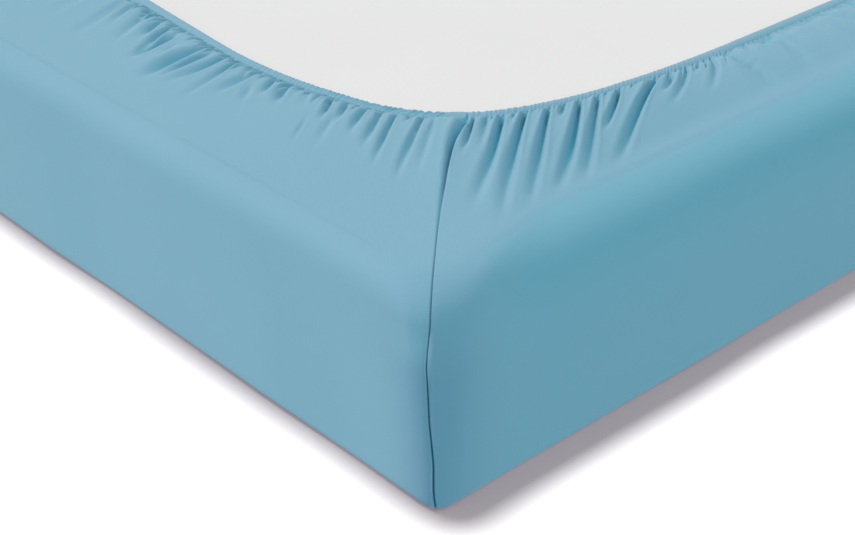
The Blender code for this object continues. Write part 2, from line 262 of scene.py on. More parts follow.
# %% The troughs at the corner that shows
Trough = namedtuple("Trough", "start end first middle last wide wider deep shallow")
TRACED = [Trough(*row) for row in (
    (0.017, 0.060, -0.4160, -0.4215, -0.4280, 0.0040, 0.0062, 0.0033, 0.0052),
    (0.017, 0.085, -0.4010, -0.4030, -0.4030, 0.0053, 0.0094, 0.0033, 0.0065),
    (0.019, 0.110, -0.3790, -0.3840, -0.3900, 0.0046, 0.0070, 0.0044, 0.0068),
    (0.014, 0.050, -0.3620, -0.3640, -0.3650, 0.0053, 0.0062, 0.0039, 0.0026),
    (0.034, 0.125, -0.3600, -0.3760, -0.3930, 0.0066, 0.0086, 0.0065, 0.0086),
    (0.055, 0.100, -0.3500, -0.3560, -0.3640, 0.0040, 0.0055, 0.0013, 0.0016),
    (0.013, 0.048, -0.3225, -0.3270, -0.3330, 0.0029, 0.0039, 0.0029, 0.0016),
    (0.017, 0.150, -0.3050, -0.3400, -0.3620, 0.0046, 0.0121, 0.0033, 0.0107),
    (0.026, 0.140, -0.2960, -0.3210, -0.3500, 0.0046, 0.0059, 0.0060, 0.0055),
    (0.019, 0.140, -0.2770, -0.3020, -0.3400, 0.0059, 0.0078, 0.0053, 0.0052),
    (0.014, 0.036, -0.2700, -0.2725, -0.2760, 0.0026, 0.0031, 0.0039, 0.0026),
    (0.017, 0.150, -0.2590, -0.2800, -0.3030, 0.0037, 0.0078, 0.0051, 0.0031),
    (0.014, 0.048, -0.2520, -0.2560, -0.2620, 0.0028, 0.0034, 0.0031, 0.0016),
    (0.016, 0.055, -0.2390, -0.2425, -0.2440, 0.0032, 0.0055, 0.0033, 0.0026),
    (0.017, 0.115, -0.2220, -0.2480, -0.2700, 0.0046, 0.0094, 0.0033, 0.0047),
    (0.055, 0.105, -0.2250, -0.2290, -0.2300, 0.0066, 0.0086, 0.0018, 0.0029),
    (0.016, 0.078, -0.2015, -0.2065, -0.2150, 0.0032, 0.0070, 0.0042, 0.0047),
    (0.013, 0.032, -0.1930, -0.1942, -0.1950, 0.0033, 0.0031, 0.0031, 0.0021),
    (0.017, 0.084, -0.1780, -0.1880, -0.1900, 0.0037, 0.0090, 0.0040, 0.0065),
    (0.016, 0.052, -0.1625, -0.1690, -0.1730, 0.0028, 0.0041, 0.0035, 0.0023),
    (0.017, 0.070, -0.1545, -0.1570, -0.1590, 0.0033, 0.0078, 0.0027, 0.0016),
    (0.085, 0.135, -0.1480, -0.1525, -0.1580, 0.0033, 0.0044, 0.0016, 0.0021),
    (0.019, 0.060, -0.1390, -0.1450, -0.1490, 0.0030, 0.0044, 0.0035, 0.0026),
    (0.017, 0.088, -0.1245, -0.1295, -0.1345, 0.0036, 0.0058, 0.0069, 0.0055),
    (0.019, 0.080, -0.1080, -0.1105, -0.1190, 0.0042, 0.0067, 0.0060, 0.0047),
    (0.060, 0.135, -0.1170, -0.1260, -0.1320, 0.0079, 0.0086, 0.0026, 0.0023),
    (0.017, 0.098, -0.0790, -0.0925, -0.0975, 0.0034, 0.0069, 0.0051, 0.0055),
    (0.017, 0.118, -0.0655, -0.0745, -0.0835, 0.0033, 0.0069, 0.0042, 0.0057),
    (0.019, 0.145, -0.0510, -0.0608, -0.0690, 0.0037, 0.0055, 0.0046, 0.0055),
    (0.013, 0.050, -0.0320, -0.0390, -0.0415, 0.0024, 0.0034, 0.0049, 0.0039),
    (0.017, 0.165, -0.0240, -0.0350, -0.0450, 0.0028, 0.0061, 0.0055, 0.0055),
    (0.025, 0.150, -0.0140, -0.0200, -0.0255, 0.0026, 0.0055, 0.0042, 0.0031),
    (0.013, 0.038, 0.0046, 0.0048, 0.0040, 0.0020, 0.0029, 0.0033, 0.0021),
    (0.022, 0.112, 0.0212, 0.0158, 0.0085, 0.0026, 0.0040, 0.0072, 0.0075),
    (0.014, 0.042, 0.0262, 0.0240, 0.0215, 0.0018, 0.0025, 0.0042, 0.0024),
    (0.014, 0.108, 0.0338, 0.0290, 0.0245, 0.0033, 0.0059, 0.0072, 0.0040),
    (0.013, 0.034, 0.0378, 0.0372, 0.0358, 0.0024, 0.0032, 0.0055, 0.0033),
    (0.015, 0.210, 0.0500, 0.0334, 0.0140, 0.0042, 0.0076, 0.0128, 0.0076),
    (0.013, 0.038, 0.0630, 0.0618, 0.0600, 0.0025, 0.0038, 0.0055, 0.0029),
    (0.015, 0.235, 0.0748, 0.0502, 0.0360, 0.0041, 0.0083, 0.0130, 0.0072),
    (0.013, 0.038, 0.0834, 0.0818, 0.0796, 0.0024, 0.0034, 0.0055, 0.0027),
    (0.020, 0.044, 0.0922, 0.0905, 0.0878, 0.0022, 0.0034, 0.0030, 0.0021),
    (0.015, 0.215, 0.0992, 0.0766, 0.0590, 0.0037, 0.0085, 0.0122, 0.0075),
    (0.014, 0.066, 0.1158, 0.1090, 0.1020, 0.0036, 0.0059, 0.0097, 0.0067),
    (0.020, 0.205, 0.1325, 0.1085, 0.0810, 0.0045, 0.0090, 0.0115, 0.0100),
    (0.013, 0.042, 0.1410, 0.1384, 0.1350, 0.0029, 0.0036, 0.0042, 0.0024),
    (0.015, 0.200, 0.1565, 0.1300, 0.1110, 0.0044, 0.0085, 0.0108, 0.0069),
    (0.013, 0.048, 0.1656, 0.1612, 0.1556, 0.0026, 0.0040, 0.0047, 0.0031),
    (0.016, 0.108, 0.1835, 0.1632, 0.1400, 0.0037, 0.0070, 0.0137, 0.0086),
    (0.013, 0.036, 0.1900, 0.1870, 0.1830, 0.0028, 0.0036, 0.0042, 0.0027),
    (0.013, 0.044, 0.1992, 0.1968, 0.1920, 0.0026, 0.0040, 0.0040, 0.0024),
    (0.013, 0.030, 0.2062, 0.2040, 0.2010, 0.0029, 0.0036, 0.0033, 0.0017),
    (0.020, 0.180, 0.2300, 0.1745, 0.1420, 0.0083, 0.0097, 0.0140, 0.0076),
    (0.014, 0.070, 0.2486, 0.2370, 0.2150, 0.0040, 0.0086, 0.0067, 0.0067),
    (0.016, 0.095, 0.2725, 0.2470, 0.2160, 0.0053, 0.0095, 0.0062, 0.0052),
    (0.014, 0.050, 0.2900, 0.2760, 0.2600, 0.0040, 0.0072, 0.0055, 0.0043),
    (0.014, 0.090, 0.3080, 0.2900, 0.2650, 0.0053, 0.0090, 0.0062, 0.0048),
)]
FIRST_TRACED, LAST_TRACED = TRACED[0].first, TRACED[-1].first
print(len(TRACED), "troughs from %.2f to %.2f m along the hem" % (FIRST_TRACED, LAST_TRACED))

# %% [markdown]
# ## Lean and lift of the gathers
# Gathers don't run straight away from the hem. They lean, here all to the same side, as the
# cloth is drawn round the corner, and where more cloth is gathered it stands higher. Two short
# tables say how much, and values between their rows are interpolated.

# %% Which way the gathers run, and how far the cloth lifts
# at: place from the corner that shows. drift: how far a gather moves along the hem for each
# metre away from it.
DRIFT = np.array([
    (-0.460, 0.00), (-0.400, -0.12), (-0.370, -0.28), (-0.310, -0.42), (-0.240, -0.36),
    (-0.180, -0.26), (-0.100, -0.18), (0.000, -0.14), (0.060, -0.20), (0.120, -0.28),
    (0.180, -0.42), (0.230, -0.65), (0.310, -0.60), (0.450, 0.00),
])
# at: distance from the nearest corner seam. lift: how high the gathered cloth stands there.
LIFTS = np.array([
    (-0.500, 0.0060), (-0.340, 0.0074), (-0.240, 0.0058), (-0.120, 0.0076), (-0.040, 0.0094),
    (0.000, 0.0112), (0.200, 0.0120), (0.290, 0.0076), (0.450, 0.0056),
])
DRIFT_REACH = 0.085                      # over this length the gathers straighten out


def signed_place(at):
    """A place on the hem from -half to +half its length, 0 at the corner that shows."""
    return np.mod(at + HEM_LENGTH / 2, HEM_LENGTH) - HEM_LENGTH / 2


def drift(at, away):
    """How far a gather has moved along the hem at a distance from it."""
    reach = DRIFT_REACH * (1.0 - np.exp(-np.maximum(away - HEM_BAND, 0.0) / DRIFT_REACH))
    return np.interp(signed_place(at), *DRIFT.T) * reach


# %% [markdown]
# ## The gathers all the way round
# The other three corners are out of view, and cloth behaves there as it does here. Their
# troughs are drawn from ranges, with a fixed seed, so every run has the same ones. Between the
# main troughs come nips that reach a finger's width, and between those the fine ruffles of the
# hem itself. That is how gathered cloth looks: each fold splits in two as it nears the elastic.

# %% Troughs where none was traced, and the nips and ruffles between them
HIDDEN_SPACING = 0.022                   # mean distance of the troughs
SPREAD = 0.34                            # how uneven that distance is
NIP_SPACING = 0.0080
RUFFLE_SPACING = 0.0046                  # on the hem that shows, and
HIDDEN_RUFFLE_SPACING = 0.0054           # where it doesn't
AT_STITCHES = 0.024                      # a trough that starts nearer than this is stitched down
HIDDEN_START = 0.014                     # where the drawn troughs start
# below: share of the troughs up to this kind. run, wide: ranges of its length and its width at
# the hem. deep: its depth there.
Kind = namedtuple("Kind", "below run wide deep")
KINDS = (
    Kind(0.38, (0.11, 0.19), (0.0060, 0.0090), 0.0110),
    Kind(0.72, (0.06, 0.11), (0.0050, 0.0070), 0.0078),
    Kind(1.00, (0.035, 0.055), (0.0040, 0.0050), 0.0055),
)
DEPTHS = (0.75, 1.15)                    # range of a drawn trough's depth, as a share of its kind's
DEPTH_ANYWHERE, DEPTH_AT_CORNER = 0.55, 0.45
NEAR_CORNER = 0.30                       # the corners' share of the depth reaches this far
LEAN, BEND = 0.12, 0.05                  # a drawn trough's, at most, for each metre of its run
WIDENS, SHALLOWS = (1.2, 1.6), (0.5, 0.8)    # its width and depth halfway, as shares of the hem's
draw = np.random.default_rng(11)


def spread_places(first, last, spacing):
    """Unevenly spaced places between two others, which are not among them."""
    count = max(1, round((last - first) / spacing))
    steps = np.arange(1, count) + draw.uniform(-SPREAD, SPREAD, count - 1)
    return first + (last - first) * steps / count


def refined(places, spacing, hidden_spacing):
    """The same places with more between them, about as far apart as the spacing says."""
    ends = np.append(places[1:], places[0] + HEM_LENGTH)
    shows = (places > FIRST_TRACED) & (places < LAST_TRACED)
    spacings = np.where(shows, spacing, hidden_spacing)
    between = [spread_places(*gap) for gap in zip(places, ends, spacings)]
    return np.sort(np.concatenate([places, *between]))


def drawn_trough(at):
    """One trough out of view: one in three is long, the others are middling or short."""
    near = np.exp(-(from_corner(np.array(at)) / NEAR_CORNER) ** 2)
    chosen = draw.uniform()
    kind = next(kind for kind in KINDS if chosen < kind.below)
    run, wide = draw.uniform(*kind.run), draw.uniform(*kind.wide)
    deep = kind.deep * draw.uniform(*DEPTHS) * (DEPTH_ANYWHERE + DEPTH_AT_CORNER * near)
    lean, bend = draw.uniform(-LEAN, LEAN), draw.uniform(-BEND, BEND)
    return Trough(HIDDEN_START, run, at, at + (0.5 * lean + bend) * run, at + lean * run,
                  wide, wide * draw.uniform(*WIDENS), deep, deep * draw.uniform(*SHALLOWS))


hidden_places = spread_places(LAST_TRACED, FIRST_TRACED + HEM_LENGTH, HIDDEN_SPACING)
all_troughs = TRACED + [drawn_trough(at) for at in hidden_places]
main_places = np.sort([trough.first for trough in all_troughs if trough.start < AT_STITCHES])
nip_places = refined(main_places, NIP_SPACING, NIP_SPACING)
ruffle_places = refined(nip_places, RUFFLE_SPACING, HIDDEN_RUFFLE_SPACING)
print(len(hidden_places), "drawn troughs,", len(nip_places), "nips,", len(ruffle_places), "ruffles")

# %% [markdown]
# ## Depth of the cloth
# The border is a height field: every point of it stands some way above the flat border. The
# cloth lifts just behind the hem and sinks back towards the rim, and each trough cuts into it,
# with a steeper slope on one side and a soft lip on both. Adding the troughs up makes
# neighbours run into each other as folds do. A cloth simulation makes gathers too, but never
# these ones in these places, and a height field is quick to compute and never cuts into itself.

# %% The shape of one trough
LEFT_SIDE, RIGHT_SIDE = 0.64, 0.46       # the slopes' widths, as shares of the trough's width
CREASE_SHIFTS = (0.22, 0.10)             # in widths, from the traced line to the crease:
SHIFTS_TURN = (-0.05, 0.02)              # the first before these places, the second beyond them
SHARPNESS = 1.9                          # 1 makes a sharp crease, 2 a round one
SLIT_WIDE = 0.26                         # the crease itself is narrow,
SLIT_SHARPNESS = 1.5
SLIT_SHARES = (0.30, 0.18, 0.0)          # and this much of the depth, from the hem to the end
LIP_AT, LIP_WIDTH, LIP_SHARE = 2.0, 0.7, 0.10
STITCH_RAMP = 0.010                      # a trough reaches its depth this far behind the stitches
FREE_RAMP = 0.3                          # or after this share of its length, where it starts free
END_RAMP = 0.25                          # and it fades over this share of it
WIDTHS = 4.0                             # nothing of a trough is left this many widths beside it


def valley(side, width, sharpness, slit_share=0.0):
    """Cross-section of a trough: 1 at its crease, and a little below 0 at its lips."""
    scaled = np.abs(side) / np.where(side < 0.0, LEFT_SIDE * width, RIGHT_SIDE * width)
    lips = LIP_SHARE * np.exp(-((scaled - LIP_AT) / LIP_WIDTH) ** 2)
    slit = slit_share * np.exp(-(np.abs(side) / (SLIT_WIDE * width)) ** SLIT_SHARPNESS)
    return (1.0 - slit_share) * np.exp(-scaled ** sharpness) + slit - lips


def cut_trough(heights, trough, at, away):
    """Lower the heights of the points that one trough reaches."""
    share = (away - trough.start) / (trough.end - trough.start)
    line = (trough.first * (1.0 - share) * (1.0 - 2.0 * share)
            + trough.middle * 4.0 * share * (1.0 - share)
            + trough.last * share * (2.0 * share - 1.0))
    side = signed_place(at - line)
    beside = np.abs(side) < WIDTHS * max(trough.wide, trough.wider)
    near = (share > 0.0) & (share < 1.0) & beside
    if not near.any():
        return
    share, side = share[near], side[near]
    width = np.interp(share, (0.0, 0.5), (trough.wide, trough.wider))
    depth = np.interp(share, (0.0, 0.5, 1.0), (trough.deep, trough.shallow, 0.0))
    stitched = trough.start < AT_STITCHES
    ramp = STITCH_RAMP / (trough.end - trough.start) if stitched else FREE_RAMP
    depth = depth * smooth(share / ramp) * smooth((1.0 - share) / END_RAMP)
    side = side - width * np.interp(trough.first, SHIFTS_TURN, CREASE_SHIFTS)
    slit_share = np.interp(share, (0.0, 0.5, 1.0), SLIT_SHARES)
    heights[near] -= depth * valley(side, width, SHARPNESS, slit_share)


# %% [markdown]
# ## Nips and ruffles
# The nips and ruffles are many, so they are cut together: each point looks up the nearest ones
# along the hem. A ruffle is sharpest on the hem near the corner, where the elastic draws the
# most, and gentler where it is stretched along the sides. On the hem itself the ruffles slant,
# because the elastic drags the upper layer of the tube along as it draws in.

# %% Nips and ruffles
NIP_WIDE, NIP_DEEP, NIP_SHARPNESS = 0.0024, 0.0058, 1.4
NIP_RAMP, NIP_FADE = 0.003, 0.5          # metres behind the hem, and share of the nip's run
RUFFLE_WIDE, RUFFLE_DEEP = 0.0024, 0.0020
RUFFLE_RAMP, RUFFLE_RUN = 0.002, 0.012   # metres behind the hem
EDGE_RUN = 0.0165                        # over this length the ruffles of the hem's edge fade
nip_runs = draw.uniform(0.030, 0.056, len(nip_places))
nip_depths = NIP_DEEP * draw.uniform(0.30, 1.3, len(nip_places))
ruffle_depths = RUFFLE_DEEP * draw.uniform(0.5, 1.2, len(ruffle_places))
# from the nearest corner seam: how much the hem's edge is ruffled, and how the ruffles slant
PINCHED = np.array([
    (-0.400, 0.10), (-0.200, 0.22), (-0.130, 0.80), (-0.090, 1.50), (-0.016, 1.40),
    (-0.003, 0.05), (0.010, 0.10), (0.018, 0.50), (0.060, 0.45), (0.100, 0.22), (0.300, 0.12),
])
SLANT = np.array([
    (-0.460, -0.20), (-0.320, -0.45), (-0.130, -0.45), (-0.090, -0.80), (-0.010, -0.80),
    (0.020, -0.20), (0.050, -0.20), (0.120, -0.30), (0.200, -0.36), (0.250, -0.55), (0.460, -0.20),
])
BAND_SHARE = 0.16                        # of a ruffle's depth that crosses the whole hem
CALM_AT, CALM_WIDE = 0.004, 0.006        # the hem lies flat just beside each corner seam


def cut_fine(places, depths, width, at, away):
    """Sum of the nearest nips, or ruffles, at the points near the hem.

    `depths` is a function that gives their depth at a distance from the hem.
    """
    near = from_corner(at)
    start = at - np.interp(near, *SLANT.T) * (away - HEM_BAND)
    order = np.searchsorted(places, np.mod(start - places[0], HEM_LENGTH) + places[0])
    cut = np.zeros_like(at)
    for step in (-2, -1, 0, 1):
        index = (order + step) % len(places)
        depth = depths(index, away)
        cut += depth * valley(signed_place(start - places[index]), width, NIP_SHARPNESS)
    return cut * (1.0 - np.exp(-((near - CALM_AT) / CALM_WIDE) ** 2))


def nip_depth(index, away):
    fade = smooth((1.0 - away / nip_runs[index]) / NIP_FADE)
    return nip_depths[index] * smooth((away - HEM_BAND) / NIP_RAMP) * fade


def ruffle_depth(index, away):
    pinched = np.interp(from_corner(ruffle_places[index]), *PINCHED.T)
    on_edge = pinched * (1.0 - smooth(away / EDGE_RUN))
    fade = 1.0 - smooth((away - HEM_BAND) / RUFFLE_RUN)
    behind = smooth((away - HEM_BAND) / RUFFLE_RAMP) * fade
    return ruffle_depths[index] * (on_edge + behind + BAND_SHARE * (away < HEM_BAND + RUFFLE_RUN))


# %% [markdown]
# ## The lift behind the hem, and the hem itself
# The hem is a flat tube about 12 mm wide: the cloth turns round an elastic and is stitched down.
# It lies on the mattress, so just behind the stitching the gathered cloth rises over it in a
# soft swell that ends before the rim.

# %% Height of the border over the flat
LIFT_RISE = 0.026                        # the cloth rises over this length behind the hem,
LIFT_FROM, LIFT_FALL = 0.050, 0.185      # and sinks from here on, over this length
LIFT_ROUND = 0.0008                      # how softly a trough meets the mattress
SINK = -0.0021                           # the lowest that the cloth may lie
RIM_FADE = 0.030                         # the folds end this far before the rim


def swell(at, away, width):
    """How high the gathered cloth would stand without its troughs."""
    rise = smooth((away - HEM_BAND) / LIFT_RISE)
    fall = 1.0 - smooth((away - LIFT_FROM) / np.minimum(LIFT_FALL, width - LIFT_FROM))
    return np.interp(from_corner(at), *LIFTS.T) * rise * fall


def softly_above(heights, floor):
    """The heights, kept above a floor by a soft bend instead of a sharp one."""
    over = heights - floor
    return floor + 0.5 * (over + np.sqrt(over ** 2 + LIFT_ROUND ** 2))


def border_height(at, away, width):
    """Height of the cloth over the flat border, which is `width` wide at these places."""
    heights = swell(at, away, width)
    for trough in all_troughs:
        cut_trough(heights, trough, at, away)
    if away.min() < nip_runs.max():
        heights -= cut_fine(nip_places, nip_depth, NIP_WIDE, at, away)
    if away.min() < HEM_BAND + RUFFLE_RUN:
        heights -= cut_fine(ruffle_places, ruffle_depth, RUFFLE_WIDE, at, away)
    return heights * smooth((width - away) / RIM_FADE)


# %% [markdown]
# ## The corner seams
# Each corner of the flat cut loses a square, and the two edges are sewn together: that is the
# seam up each corner. At the corner that shows it runs in a deep fold from the hem, thins out
# to a fine line over the rim, steps sideways on the wall and forks in a small tuck at the floor.
# The columns of the mesh beside it are shifted so that one of them lies exactly in the seam.
#
# down: distance from the hem along the seam. shift: how far the seam lies from the middle of
# the corner, in metres along the hem. deep and wide: its groove. lift: the ridge beside it.

# %% The seam's path and its groove
SeamRow = namedtuple("SeamRow", "down shift deep wide lift")
SEAM = np.array([
    (0.000, 0.0150, 0.0012, 0.0008, 0.0),
    (0.0125, 0.0150, 0.0016, 0.0012, 0.0),
    (0.018, 0.0152, 0.0035, 0.0024, 0.0),
    (0.024, 0.0155, 0.0083, 0.0034, 0.0),
    (0.032, 0.0145, 0.0113, 0.0043, 0.0),
    (0.042, 0.0132, 0.0130, 0.0050, 0.0),
    (0.050, 0.0112, 0.0132, 0.0050, 0.0),
    (0.063, 0.0072, 0.0130, 0.0042, 0.0),
    (0.072, 0.0052, 0.0123, 0.0038, 0.0004),
    (0.082, 0.0036, 0.0113, 0.0034, 0.0008),
    (0.094, 0.0020, 0.0104, 0.0030, 0.0012),
    (0.108, 0.0011, 0.0092, 0.0029, 0.0016),
    (0.122, 0.0001, 0.0080, 0.0026, 0.0018),
    (0.138, -0.0006, 0.0061, 0.0024, 0.0018),
    (0.155, -0.0013, 0.0050, 0.0021, 0.0016),
    (0.175, -0.0022, 0.0032, 0.0022, 0.0012),
    (0.195, -0.0030, 0.0024, 0.0018, 0.0008),
    (0.227, -0.0040, 0.0021, 0.0008, 0.0003),
    (0.271, -0.0042, 0.0021, 0.0008, 0.0),
    (0.324, -0.0050, 0.0021, 0.0008, 0.0),
    (0.337, -0.0052, 0.0021, 0.0008, 0.0),
    (0.346, -0.0060, 0.0021, 0.0008, 0.0),
    (0.361, -0.0073, 0.0021, 0.0008, 0.0),
    (0.376, -0.0078, 0.0021, 0.0008, 0.0),
    (0.392, -0.0068, 0.0021, 0.0008, 0.0),
    (0.422, -0.0056, 0.0021, 0.0008, 0.0),
    (0.442, -0.0038, 0.0021, 0.0008, 0.0),
    (0.459, -0.0026, 0.0021, 0.0008, 0.0),
    (0.486, -0.0024, 0.0021, 0.0008, 0.0),
    (0.497, -0.0012, 0.0021, 0.0008, 0.0),
    (0.520, -0.0010, 0.0004, 0.0008, 0.0),
])
SEAM_PULL = 0.05                         # length of hem over which the shift fades
SLANT_REACH, SLANT_CLEAR = 0.006, 0.012  # the columns follow the ruffles this far
SEAM_SPREAD = 0.46                       # columns beside it are this much further apart at the rim
SEAM_WIDE_SIDE, SEAM_STEEP_SIDE, SEAM_SHARPNESS = 0.90, 0.50, 1.5
SEAM_LIP_SHARE, SEAM_LIP_AT, SEAM_LIP_WIDE = 0.12, 2.1, 0.7
RIDGE_WIDE = 0.018                       # half width of the ridge beside the seam
FORK_AT, FORK_LENGTH, FORK_SPREAD = 0.486, 0.011, 0.0036    # the tuck: start, length and width
FORK_DEEP, FORK_WIDE = 0.0012, 0.0008    # its groove
OTHER_SEAM_DEEP = 0.45                   # the other seams' groove, as a share of this one's
CORNER_BORDER = 0.2713                   # from hem to rim along a corner seam
CORNER_RIM = 0.0425                      # radius of the rim at a corner


def seam_column(name, down):
    """One column of the seam's table at a distance from the hem."""
    return np.interp(down, SEAM[:, 0], SEAM[:, SeamRow._fields.index(name)])


def led(at, down):
    """Places moved sideways, so that column 0 follows the seam and the others the gathers."""
    place = signed_place(at)
    by_seam = np.exp(-(place / SEAM_PULL) ** 2)
    moved = place + seam_column("shift", down) * by_seam + drift(place, down) * (1.0 - by_seam)
    near = from_corner(at)
    behind = down - HEM_BAND
    if behind > 0.0:
        behind = SLANT_REACH * (1.0 - math.exp(-behind / SLANT_REACH))
    return moved + np.interp(near, *SLANT.T) * behind * (1.0 - np.exp(-(near / SLANT_CLEAR) ** 2))


def seam_sink(at, down):
    """How far the cloth sinks at a seam, and how far it is lifted beside it."""
    near = from_corner(at)
    stretched = near * (1.0 + SEAM_SPREAD * np.clip(down / CORNER_BORDER, 0.0, 1.0))
    shows = np.abs(signed_place(at)) < HEM_LENGTH / 16
    deep = seam_column("deep", down) * np.where(shows, 1.0, OTHER_SEAM_DEEP)
    wide = seam_column("wide", down)
    slope = np.where(stretched < 0.0, SEAM_WIDE_SIDE, SEAM_STEEP_SIDE) * wide
    scaled = np.abs(stretched) / slope
    lips = SEAM_LIP_SHARE * np.exp(-((scaled - SEAM_LIP_AT) / SEAM_LIP_WIDE) ** 2)
    sunk = deep * (np.exp(-scaled ** SEAM_SHARPNESS) - lips)
    forked = np.clip((down - FORK_AT) / FORK_LENGTH, 0.0, 1.0)
    branch = FORK_DEEP * np.exp(-((stretched + FORK_SPREAD * forked) / FORK_WIDE) ** 2)
    fork = np.where(shows & (down > FORK_AT), branch, 0.0)
    ridge = seam_column("lift", down) * np.exp(-(stretched / RIDGE_WIDE) ** 2)
    return sunk + fork - ridge


print("seam groove over the rim: %.1f mm" % (1000 * seam_column("deep", 0.3)))

# %% [markdown]
# ## Columns and rows
# Fine folds need fine columns, but only near the hem and only at the corner that shows. So
# every column gets a rank: all of them reach the hem, and fewer go on from band to band until
# the walls. The columns beside a seam are kept all the way down. Like warp threads, the columns
# follow the seam and the gathers sideways, so that a narrow fold stays on the same columns.

# %% The cloth's columns
SHOWN_FROM, SHOWN_TO = -0.46, 0.33       # the stretch of hem that shows
BESIDE_SEAM = np.array([0.0004, 0.0009, 0.0016, 0.0026, 0.0040])
seam_columns = np.concatenate([-BESIDE_SEAM[::-1], [0.0], BESIDE_SEAM])
CLEAR_OF_SEAM = 0.0047                   # no other columns are nearer
# columns from one ruffle to the next, where the hem shows and where it doesn't
PARTS = {True: 6, False: 2}
# every so many columns: the rank of that column
RANKS = {True: ((36, 4), (10, 3), (2, 2), (1, 1)), False: ((28, 4), (6, 3), (2, 2))}


def ranked_columns():
    """Place and rank of every column, all the way round from the corner that shows."""
    found = []
    count = {True: 0, False: 0}
    ends = np.append(ruffle_places[1:], ruffle_places[0] + HEM_LENGTH)
    for first, last in zip(ruffle_places, ends):
        place = signed_place(np.array(first))
        shown = bool(SHOWN_FROM < place < SHOWN_TO)
        for part in range(PARTS[shown]):
            rank = next((rank for every, rank in RANKS[shown] if count[shown] % every == 0), 0)
            count[shown] += 1
            at = np.mod(first + (last - first) * part / PARTS[shown], HEM_LENGTH)
            found.append((at, rank))
    found = [(at, rank) for at, rank in found if abs(from_corner(np.array(at))) > CLEAR_OF_SEAM]
    for corner in hem_marks[:-1:2]:
        for offset in seam_columns:
            rank = 4 if offset == 0.0 else 3
            found.append((np.mod(corner + offset, HEM_LENGTH), rank))
    return np.array(sorted(found))


columns = ranked_columns()
column_at, column_rank = columns[:, 0], columns[:, 1].astype(int)
print("columns by rank:", [int(np.sum(column_rank >= rank)) for rank in range(5)])

# %% [markdown]
# ## Rings of cloth
# A row is a closed ring of points. The rings run from under the hem round its edge, over its
# top, across the border, over the rim and down the wall to the middle of the main panel. Each
# ring also keeps the cloth's own coordinates, in metres, for the weave, and a tint that is painted
# shade: a fold's shade and the bluer light between its sides are painted in, more the deeper it is.

# %% Rings of the hem and the border
# tint: how much painted shade a point has, in a fold, round a soft rim or beside a seam
Ring = namedtuple("Ring", "points columns cloth tint", defaults=(None,))
HemRow = namedtuple("HemRow", "away height ruffled")
HEM_ROWS = [HemRow(*row) for row in (
    (0.0120, -0.0031, 0.0),
    (0.0018, -0.0031, 0.0),
    (0.0000, -0.0016, 0.3),
    (0.0007, -0.0001, 0.8),
    (0.0026, 0.0010, 1.0),
    (0.0058, 0.0012, 1.0),
    (0.0092, 0.0008, 1.0),
    (0.0115, 0.0000, 1.0),
    (0.0127, -0.0005, 1.0),
    (0.0138, -0.0002, 1.0),
    (0.0156, 0.0000, 1.0),
    (0.0180, 0.0000, 1.0),
    (0.0210, 0.0000, 1.0),
)]
# distance from the hem, and how deep a fold has to be there to get the full painted fold shade
FOLD_SHADE_FULL = np.array([(0.0127, 0.0017), (0.0200, 0.0052), (0.0340, 0.0105)])
RIM_SHADE = 0.24                          # of the painted fold shade shows round a soft rim, where it turns from the light,
RIM_SHADE_AT, RIM_SHADE_WIDE = 0.035, 0.055    # most of all this far beyond its start
SCALLOP = 0.45                           # how far a ruffle draws the hem's edge back
NEAR_ROWS = (0.0245, 0.0285, 0.0330, 0.0380, 0.0435, 0.0490, 0.0550)
FAR_ROWS = 20
FAR_ROWS_CROWD = 1.2                     # more rows near the hem than near the rim
rings = []


def add_border_ring(rank, away, share, base, ruffled):
    """A ring at a distance from the hem, plus a share of the rest of the way to the rim."""
    kept = np.flatnonzero(column_rank >= rank)
    down = away + (CORNER_BORDER - away) * share
    at = led(column_at[kept], down)
    around = around_of(at)
    points, way, distance, width = across_border(at, away, share)
    heights = np.zeros(len(kept))
    painted_fold_shade = np.zeros(len(kept))
    if ruffled > 0.0:
        heights = border_height(at, distance, width) * ruffled
        heights -= seam_sink(column_at[kept], down)
        if away > HEM_BAND:
            heights = softly_above(heights, SINK)
        else:
            points = points - way * (SCALLOP * heights * (1.0 - away / HEM_BAND))[:, None]
        # painted shade: the deeper a fold lies below the swell, the more of the folds' darker blue it
        # gets
        painted_fold_shade = (swell(at, distance, width) - heights) / np.interp(distance, *FOLD_SHADE_FULL.T)
    z = BORDER_TOP + base + heights - droop(around, distance - width)
    painted_fold_shade = np.maximum(painted_fold_shade, painted_rim_shade(around, distance - width))
    tint = np.clip(painted_fold_shade, 0.0, 1.0) ** 2
    rings.append(Ring(np.column_stack((points, z)), kept, cloth_place(around, distance), tint))


def painted_rim_shade(around, beyond):
    """How much painted fold shade the cloth has round the rim, where it turns away from the light."""
    return RIM_SHADE * short_side(around) * np.exp(-((beyond - RIM_SHADE_AT) / RIM_SHADE_WIDE) ** 2)


for row in HEM_ROWS:
    add_border_ring(0 if row.ruffled > 0.0 else 1, row.away, 0.0, row.height, row.ruffled)
for away in NEAR_ROWS:
    add_border_ring(1, away, 0.0, 0.0, 1.0)
for number in range(1, FAR_ROWS + 1):
    add_border_ring(2, NEAR_ROWS[-1], (number / FAR_ROWS) ** FAR_ROWS_CROWD, 0.0, 1.0)
print("border rings:", len(rings), "highest %.4f m" % max(ring.points[:, 2].max() for ring in rings))

# %% [markdown]
# ## Dips and waves
# Over the rim and down the walls the cloth is drawn smooth. It isn't quite flat: it waves by
# less than a millimetre, and at the corner that shows it is pressed in beside the seam. Both
# are pushes along the surface's own normal, so the same code serves the rim and the walls.

